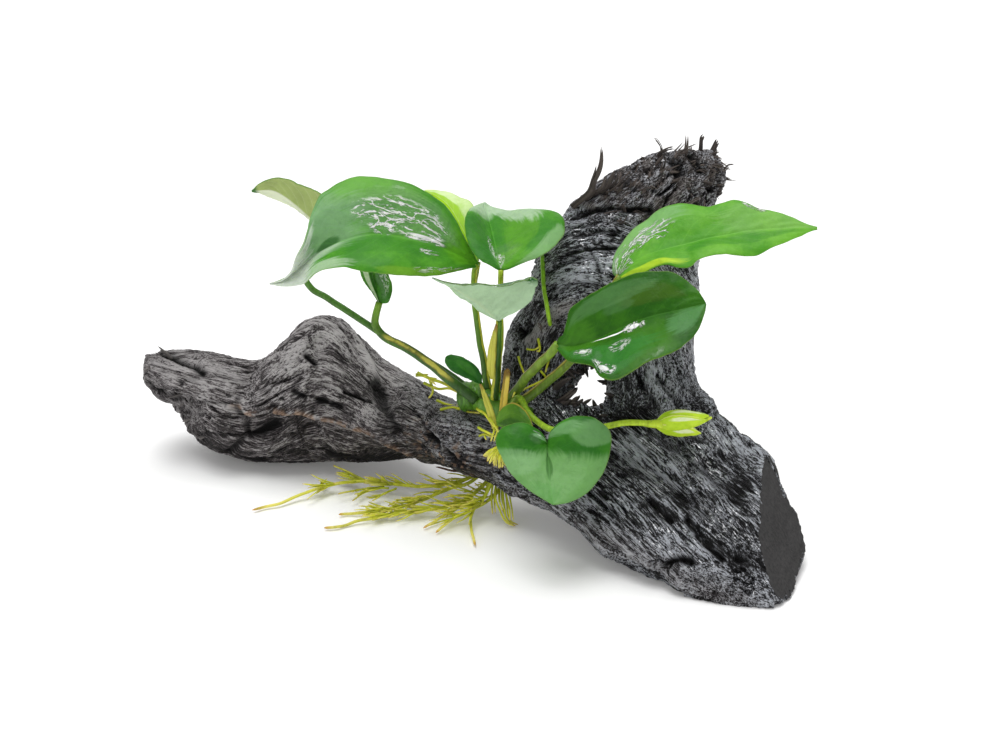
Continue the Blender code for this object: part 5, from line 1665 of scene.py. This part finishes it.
# The unrolling leaf: its stalk, its rolled core with a radius at each point, and the leaflets that stand off
BUD_STALK = [
    (8.5, -6, 40.5), (12.1, -9.3, 46.2), (14.5, -16, 45), (17.5, -20, 43.5), (21.4, -24, 42.8),
    (27.4, -26.4, 42.9), (33.4, -27, 43.9), (38.2, -27.4, 45.3), (43.9, -27.6, 46.6), (49.1, -27.4, 46.5),
    (53.3, -27, 45.8),
]
BUD_CORE = [
    ((51, -27.2, 46.1), 1.2), ((55, -27.8, 46.3), 1.7), ((60, -28.4, 46.5), 2.0), ((65, -28.6, 47.2), 1.5),
    ((70, -28.8, 49), 0.35),
]
BUD_BLADES = {
    "top": dict(
        face=(0, -0.6, 0.8), bulge=0.06, crinkle=0.1, rough=0.2,
        rib=[(53, -27, 45.9), (56.8, -29, 49.4), (60.9, -29.6, 50.9), (65.4, -29.4, 50.4),
             (69.1, -29, 49.6)],
        first=[(53, -27, 46.4), (55.7, -27, 49.5), (59.3, -27, 50.5), (64.1, -27, 50.1),
               (69.1, -28.8, 49.6)],
        second=[(53, -27.4, 45.8), (56.2, -29.6, 47.9), (60.3, -30.4, 48.6), (65.2, -30, 48.6),
                (69.1, -29, 49.4)],
    ),
    "low": dict(
        face=(0, -1, -0.2), bulge=0.06, crinkle=0.1, rough=0.2,
        rib=[(53.1, -27, 45.4), (56.9, -29, 44.6), (60.5, -29, 43.7), (63.6, -28.6, 43.5),
             (66.9, -28, 43.4)],
        first=[(53, -27.4, 46), (56.8, -30.2, 47.5), (60.9, -30.6, 47.5), (64, -30, 46.4),
               (66.9, -28.2, 43.6)],
        second=[(53.1, -26.6, 45.1), (56.5, -26.6, 42.4), (60.1, -26.4, 41.6), (63.7, -26.8, 42),
                (67, -27.8, 43.2)],
    ),
    "middle": dict(
        face=(0, -1, 0.2), bulge=0.06, crinkle=0.1, rough=0.2,
        rib=[(53, -27, 45.8), (57.3, -30.8, 48.1), (61.5, -31, 48.7), (65.4, -30.4, 48.6),
             (68.5, -29.4, 48.3)],
        first=[(53, -27, 46.1), (57.3, -30, 50.1), (61.5, -30.2, 50.3), (65.4, -29.8, 49.5),
               (68.5, -29.3, 48.4)],
        second=[(53.1, -27, 45.4), (57.4, -30, 45.2), (61.6, -30.4, 45.9), (65.5, -29.8, 46.8),
                (68.5, -29.4, 48.1)],
    ),
}


def one_strand(name, path, radii, material, sides=16, squash=0.9, ridges=0.03, towards=(0, 0, 1)):
    strands = Strands()
    strands.add(path, radii, sides, squash, ridges=ridges, towards=towards)
    return strands.piece(name, material)


def stalks():
    finishes = {look: stalk_finish(look + " stalk", *colours) for look, colours in STALK_COLOURS.items()}
    for name, (look, foot, top, towards, points) in STALKS.items():
        path = wavered(through(points, 8), 0.25, len(name))
        radii = [foot + (top - foot) * math.sqrt(i / (len(path) - 1)) for i in range(len(path))]
        piece = one_strand("stem_" + name, path, radii, finishes[look], towards=towards)
        finished(piece, "stalk_green", "stalk_" + name)
    creeping = wavered(through(CREEPING_STEM, 10), 0.8, 5)
    radii = [CREEPING_STEM_RADIUS * (1 + 0.08 * math.sin(1.9 * i)) for i in range(len(creeping))]
    dark = stalk_finish("creeping stem", (0.05, 0.15, 0.014), (0.12, 0.30, 0.025), (0.09, 0.22, 0.02))
    piece = one_strand("rooting_stem", creeping, radii, dark, 28, 0.95, 0.04)
    finished(piece, "stalk_green", "creeping_stem")
    yellowed = stalk_finish(
        "yellowed stub", (0.50, 0.46, 0.03), (0.66, 0.48, 0.05), (0.10, 0.02, 0.01),
        (0.80, 0.62, 0.10), (0.05, 0.9), 1.0,
    )
    stub = through(CUT_STUB, 8)
    radii = tapered(len(stub), 1.3, taper=0.75, tip=0.10)
    piece = one_strand("dried_stub", stub, radii, yellowed, 16, 0.6, 0.10, (0.3, -0.9, 0.2))
    finished(piece, "stalk_green", "cut_stub")
    lime = stalk_finish("lime stalk", (0.08, 0.20, 0.014), (0.42, 0.64, 0.03), (0.70, 0.86, 0.05))
    rolled = Strands()
    path = through(BUD_STALK[:-1] + [p for p, r in BUD_CORE], 6)
    sizes = [1.35, 1.2, 1.1] + [1.05] * (len(BUD_STALK) - 4) + [r for p, r in BUD_CORE]
    rolled.add(path, [r.x for r in through([(r, 0, 0) for r in sizes], 6)], 20, 0.9)
    finished(rolled.piece("rolled_leaf", lime), "stalk_green", "new_leaf")
    # A painted highlight: pale yellow-white along the top of the unrolling blades
    light = [((0.62, 0.30, 0.26, 0.16), (0.93, 0.97, 0.72), 0.7)]
    fresh = leaf_top("unrolling leaf", (0.42, 0.66, 0.02), (0.62, 0.84, 0.05), light, rim=(0.75, 0.86, 0.2))
    inner = leaf_under("unrolling leaf below", (0.66, 0.82, 0.14))
    for seed, (name, leaf) in enumerate(BUD_BLADES.items()):
        blade("unrolling_" + name, leaf, fresh, inner, 70 + seed, "stalk_green")
    papery = sheath_finish()
    for seed, (name, sheath) in enumerate(SHEATHS.items()):
        blade("papery_" + name, sheath, papery, papery, 50 + seed, "stalk_green", ["sheath_" + name])


# Roots over the surface. Each is its radius, how many rootlets it carries, and its path.
LONG_ROOTS = [
    (0.66, 60, [(5, 10, 18), (0.5, 7.5, 12), (-3.5, 7.5, 10), (-8.5, 8, 8), (-17.5, 9.5, 6), (-25.5, 12.5, 5),
                (-38, 17, 4), (-46.5, 16, 3.5), (-53, 13, 3), (-59.5, 10, 2), (-63.5, 7, 1.5), (-68, 5, 1),
                (-72.5, 2.5, 1)]),
    (0.62, 60, [(4, 7, 17), (-2.5, 5.5, 10), (-10.5, 7.5, 6), (-17, 5.5, 4), (-24, 2, 3), (-30.5, 1, 2),
                (-37.5, 0, 1.5), (-42, 0.5, 1), (-45, -0.5, 1)]),
    (0.66, 60, [(6, 4, 18), (2, 1.5, 12), (-3.5, -0.5, 7), (-10.5, -0.5, 4), (-18.5, -1.5, 3), (-25, -2, 2.5),
                (-31, -3.5, 2), (-37, -5, 1.5), (-42, -7, 1), (-45.5, -9, 1), (-49, -9.5, 1)]),
    (0.60, 20, [(6, 3, 17), (2.5, 0.5, 11), (1, 0, 7), (-4.5, -1, 5), (-9.5, -3, 3.5), (-13.5, -6, 2),
                (-18, -9.5, 1)]),
    (0.60, 20, [(8, 1, 15), (4, -1.5, 8), (-2, -4, 5), (-7.5, -6.5, 3.5), (-11, -9, 2), (-14, -12.5, 1)]),
    (0.60, 20, [(4, -2, 15), (0.5, -4, 8), (-1.5, -4.5, 6), (-3, -9, 4), (-2.5, -14, 2), (-1.5, -21, 1)]),
]

# Their side roots, and the roots that hang down from the saddle
SIDE_ROOT_RADIUS = 0.36
SIDE_ROOTS = [
    [(-37.5, 17, 4), (-41, 19, 5), (-45, 21.5, 6), (-48, 23, 6.5)],
    [(-39, 17, 4), (-42, 19, 4.5), (-43.5, 19.5, 5), (-47, 21.5, 5)],
    [(-28.5, 12.5, 5), (-31, 14.5, 6), (-33, 16.5, 6.5)],
    [(-31, 13.5, 4), (-38, 13.5, 3), (-42, 11.5, 3), (-45.5, 9.5, 3)],
    [(-29.5, 12, 4), (-35, 13, 3), (-38, 11, 2.5), (-41, 7, 2)],
    [(-27, 12, 4), (-31.5, 9.5, 3), (-35, 7, 2)],
    [(-51.5, 14.5, 3), (-51.5, 16.5, 3.5), (-50.5, 17, 3.5)],
    [(-17, 6, 4), (-21.5, 4, 4), (-26, 5, 3.5), (-29.5, 2.5, 2.5)],
    [(-30.5, -2.5, 2), (-34, -1.5, 2.5), (-36, -2.5, 2)],
]
HANGING_ROOT_RADIUS = 0.38
HANGING_ROOTS = [
    [(4, -2, 13), (3.5, -4, 8), (4, -8, 5)],
    [(5, -2, 13), (5, -6.5, 10), (6, -6, 6), (8, -8, 2.5), (11, -8, 1)],
    [(7, -4.5, 12), (7.5, -7, 8), (8.5, -8, 3), (10.5, -7, 1)],
    [(8, -4.5, 11), (9, -7.5, 7), (9.5, -8.5, 3)],
    [(6, -3.5, 12), (6, -6, 9), (7, -7.5, 6)],
    [(4.5, -12, 38), (4.4, -15.6, 37.7), (3.5, -15.6, 34.2)],
]

# The single root up the upper limb
THICK_ROOT = [(19.5, 18.5, 82), (19.6, 14.5, 79.5), (19.6, 10, 76), (20.5, 5.5, 71.2), (21.4, 3.5, 67.2),
              (22, 5, 64)]

# Shorter roots on the wood, each with its radius and its path
RIGHT_ROOTS = [
    (0.42, [(18, 6.5, 59.5), (18.5, 6, 55.5), (17.5, 6, 55)]),
    (0.40, [(12, 7.5, 52.5), (13, 6, 49.5), (14.5, 5, 45.5)]),
    (0.40, [(22, 5, 55), (21, 4.5, 51), (20.5, 4.5, 48.5)]),
    (0.42, [(22, 3, 47.5), (17, 2, 45.5), (12, 2.5, 42.5)]),
    (0.40, [(13, -4, 49), (11, -6, 47), (10, -8, 45.5)]),
    (0.38, [(19, 4.5, 49), (20.5, 4, 46.5), (19, 3.5, 44)]),
    (0.38, [(14.5, 6.5, 55.5), (17, 6, 55.5), (18.5, 6, 56.5)]),
]
BACK_LEFT_ROOTS = [
    (0.60, [(-20.5, 14, 43), (-18, 14, 43), (-15, 13, 42), (-9, 10, 41), (-4, 7, 40.5)]),
    (0.45, [(-19.5, 15, 43.5), (-18, 14, 43), (-14, 11.5, 41)]),
    (0.50, [(-14, 17.5, 32.5), (-9, 12, 33.5), (-3, 7.5, 35)]),
    (0.50, [(-18, 13, 41), (-14, 12, 39.5), (-10, 11, 40), (-5.5, 9, 39)]),
    (0.45, [(-16, 13, 42), (-15, 12.5, 38.5), (-16.5, 13, 35.5)]),
    (0.50, [(-12.5, 9, 33.5), (-8, 7.5, 35), (-3, 4, 35), (1, 2, 35.5)]),
    (0.45, [(-1, -5, 40.5), (2, -10, 40.5), (5.5, -15, 37)]),
    (0.45, [(-0.5, -8, 35.5), (2, -12, 36), (5.5, -15, 35.5)]),
    (0.45, [(3, -12, 40.5), (4.5, -14.5, 39.5), (6, -16, 37.5)]),
    (0.42, [(0, -8, 32.5), (2, -11, 34.5), (4, -13, 34.5)]),
]

# The fan of short roots: how many, where they leave the stem, and where their tips lie
TUFT_ROOTS = 44
TUFT_FOOT = (8.0, -15.0, 32.4)
TUFT_TIPS = [(1.2, -15.6, 29.6), (4.2, -15.8, 25.0), (8.5, -15.2, 25.6)]

BROWN_TWIG = [(0, 3.5, 13), (-3.5, 5, 13), (-8.5, 6.5, 13), (-14.5, 9, 13)]


def root(strands, points, radius, draw, seed):
    path = wavered(through(points, 6), 0.35, seed)
    strands.add(path, tapered(len(path), radius, taper=0.7, tip=0.05), 10, tone=draw.random())
    return path


def rootlets(strands, path, count, reach, draw):
    """Slender side roots that leave a root at a narrow angle, and stay close to the surface."""
    for _ in range(count):
        pick = draw.randint(len(path) // 6, int(len(path) * 0.62))
        start = path[pick]
        onward = (path[pick + 1] - path[pick]).normalized()
        side = onward.cross(Vector((0, 0, 1))) * draw.choice((-1, 1))
        heading = onward + side * draw.uniform(0.12, 0.55)
        heading.z = draw.uniform(-0.1, 0.2)
        length = reach * draw.uniform(0.4, 1.25)
        points = [start]
        for _ in range(3):
            heading += jitter(draw, 0.15)
            step = points[-1] + heading.normalized() * length / 3
            step.z = max(step.z, 0.5)
            points.append(step)
        strand = wavered(through(points, 3), 0.2, pick)
        radii = tapered(len(strand), draw.uniform(0.22, 0.34), taper=0.75, tip=0.2)
        strands.add(strand, radii, 8, tone=draw.random())


def tuft(strands, draw):
    """The thick fan of short roots that hangs in front of the crown."""
    left, middle, right = [Vector(tip) for tip in TUFT_TIPS]
    layer = TUFT_ROOTS // 2
    for number in range(TUFT_ROOTS):
        share = number % layer / (layer - 1)
        foot = Vector(TUFT_FOOT) + jitter(draw, 0.8)
        end = left.lerp(middle, min(1.0, 1.6 * share))
        end = end.lerp(right, max(0.0, 1.6 * share - 0.6))
        if number >= layer:
            end = foot.lerp(end, 0.75) + Vector((0, -0.8, 0.4))
        end += jitter(draw, 0.35)
        bend = Vector((-1.2, -1.6, 1.3)) if share < 0.6 else Vector((-0.6, -1.6, 0.6))
        path = wavered(through([foot, foot.lerp(end, 0.45) + bend, end], 6), 0.15, number)
        radii = tapered(len(path), draw.uniform(0.30, 0.42), taper=0.85, tip=0.12)
        strands.add(path, radii, 8, tone=draw.random() * 0.7)


def roots():
    draw = random.Random(8)
    skin = root_finish()
    front, right, back_left = Strands(), Strands(), Strands()
    for seed, (radius, count, points) in enumerate(LONG_ROOTS):
        rootlets(front, root(front, points, radius, draw, seed), count, 8.5, draw)
    for seed, points in enumerate(SIDE_ROOTS):
        rootlets(front, root(front, points, SIDE_ROOT_RADIUS, draw, seed + 10), 5, 4.0, draw)
    for seed, points in enumerate(HANGING_ROOTS):
        root(front, points, HANGING_ROOT_RADIUS, draw, seed + 20)
        root(front, [Vector(p) + Vector((0.8, 0.5, 0)) for p in points], 0.32, draw, seed + 60)
    tuft(front, draw)
    for seed, (radius, points) in enumerate(RIGHT_ROOTS):
        root(right, points, radius, draw, seed + 30)
    green = stalk_finish("green root", (0.17, 0.38, 0.02), (0.26, 0.52, 0.025), (0.34, 0.56, 0.03))
    path = wavered(through(THICK_ROOT, 6), 0.25, 4)
    piece = one_strand("thick_root_right", path, tapered(len(path), 0.72, taper=0.9, tip=0.06), green)
    finished(piece, "root_green", "root_right")
    for seed, (radius, points) in enumerate(BACK_LEFT_ROOTS):
        rootlets(back_left, root(back_left, points, radius, draw, seed + 40), 1, 3.0, draw)
    finished(front.piece("strands_roots_front", skin), "root_green", "roots_front")
    finished(right.piece("strands_root_right", skin), "root_green")
    finished(back_left.piece("strands_roots_back_left", skin), "root_green", "roots_back_left")
    twig = Strands()
    path = wavered(through(BROWN_TWIG, 6), 0.5, 3)
    twig.add(path, tapered(len(path), 0.5, taper=0.6, tip=0.1), 10, tone=0.3)
    brown = fibre_finish("brown twig", (0.02, 0.008, 0.004), (0.12, 0.05, 0.025))
    finished(twig.piece("brown_twig", brown), "dry_wood")


# The floor's half width in metres, the light from all round, and each lamp: the direction it stands in, its
# angle in degrees and its strength
FLOOR_REACH = 6.0
SURROUNDING_LIGHT = 0.5
LAMPS = {
    "front softbox": ((-0.14, -0.22, 0.97), 30.0, 1.25),
    "back softbox": ((0.02, 0.20, 0.98), 44.0, 1.25),
}

# The camera's place in the design frame, in millimetres, and its lens
CAMERA_AIM = (7.0, 0.0, 49.0)
CAMERA_DISTANCE = 866.0
CAMERA_ELEVATION = math.radians(25.0)
CAMERA_LENS = 100.0
SENSOR_WIDTH = 36.0


def floor():
    bm = bmesh.new()
    bmesh.ops.create_grid(bm, x_segments=1, y_segments=1, size=FLOOR_REACH)
    s = Shader("white floor", roughness=0.6, specular=0.2)
    s.put("Base Color", (0.93, 0.93, 0.93, 1.0))
    s.put("Emission Color", (1.0, 0.99, 0.97, 1.0))
    s.put("Emission Strength", 0.10)
    new_object("floor", bm, s.material)


def sun(name, towards, angle, strength):
    """A soft studio light, from the direction it stands in."""
    light = bpy.data.lights.new(name, "SUN")
    light.angle = math.radians(angle)
    light.energy = strength
    lamp = link(bpy.data.objects.new(name, light))
    lamp.rotation_euler = Vector(towards).to_track_quat("Z", "Y").to_euler()


def studio():
    world = bpy.data.worlds.new("studio")
    world.use_nodes = True
    background = world.node_tree.nodes["Background"]
    background.inputs["Color"].default_value = (1.0, 1.0, 1.0, 1.0)
    background.inputs["Strength"].default_value = SURROUNDING_LIGHT
    bpy.context.scene.world = world
    for name, lamp in LAMPS.items():
        sun(name, *lamp)
    floor()
    bpy.context.scene.view_settings.view_transform = "Standard"


def camera():
    data = bpy.data.cameras.new("camera")
    data.lens = CAMERA_LENS
    data.sensor_width = SENSOR_WIDTH
    outward = Vector((0, -math.cos(CAMERA_ELEVATION), math.sin(CAMERA_ELEVATION)))
    eye = Vector(CAMERA_AIM) + CAMERA_DISTANCE * outward
    view = link(bpy.data.objects.new("camera", data))
    view.location = place(eye)
    view.rotation_euler = (place(CAMERA_AIM) - place(eye)).to_track_quat("-Z", "Y").to_euler()
    bpy.context.scene.camera = view


driftwood()
leaves()
stalks()
roots()
studio()
camera()
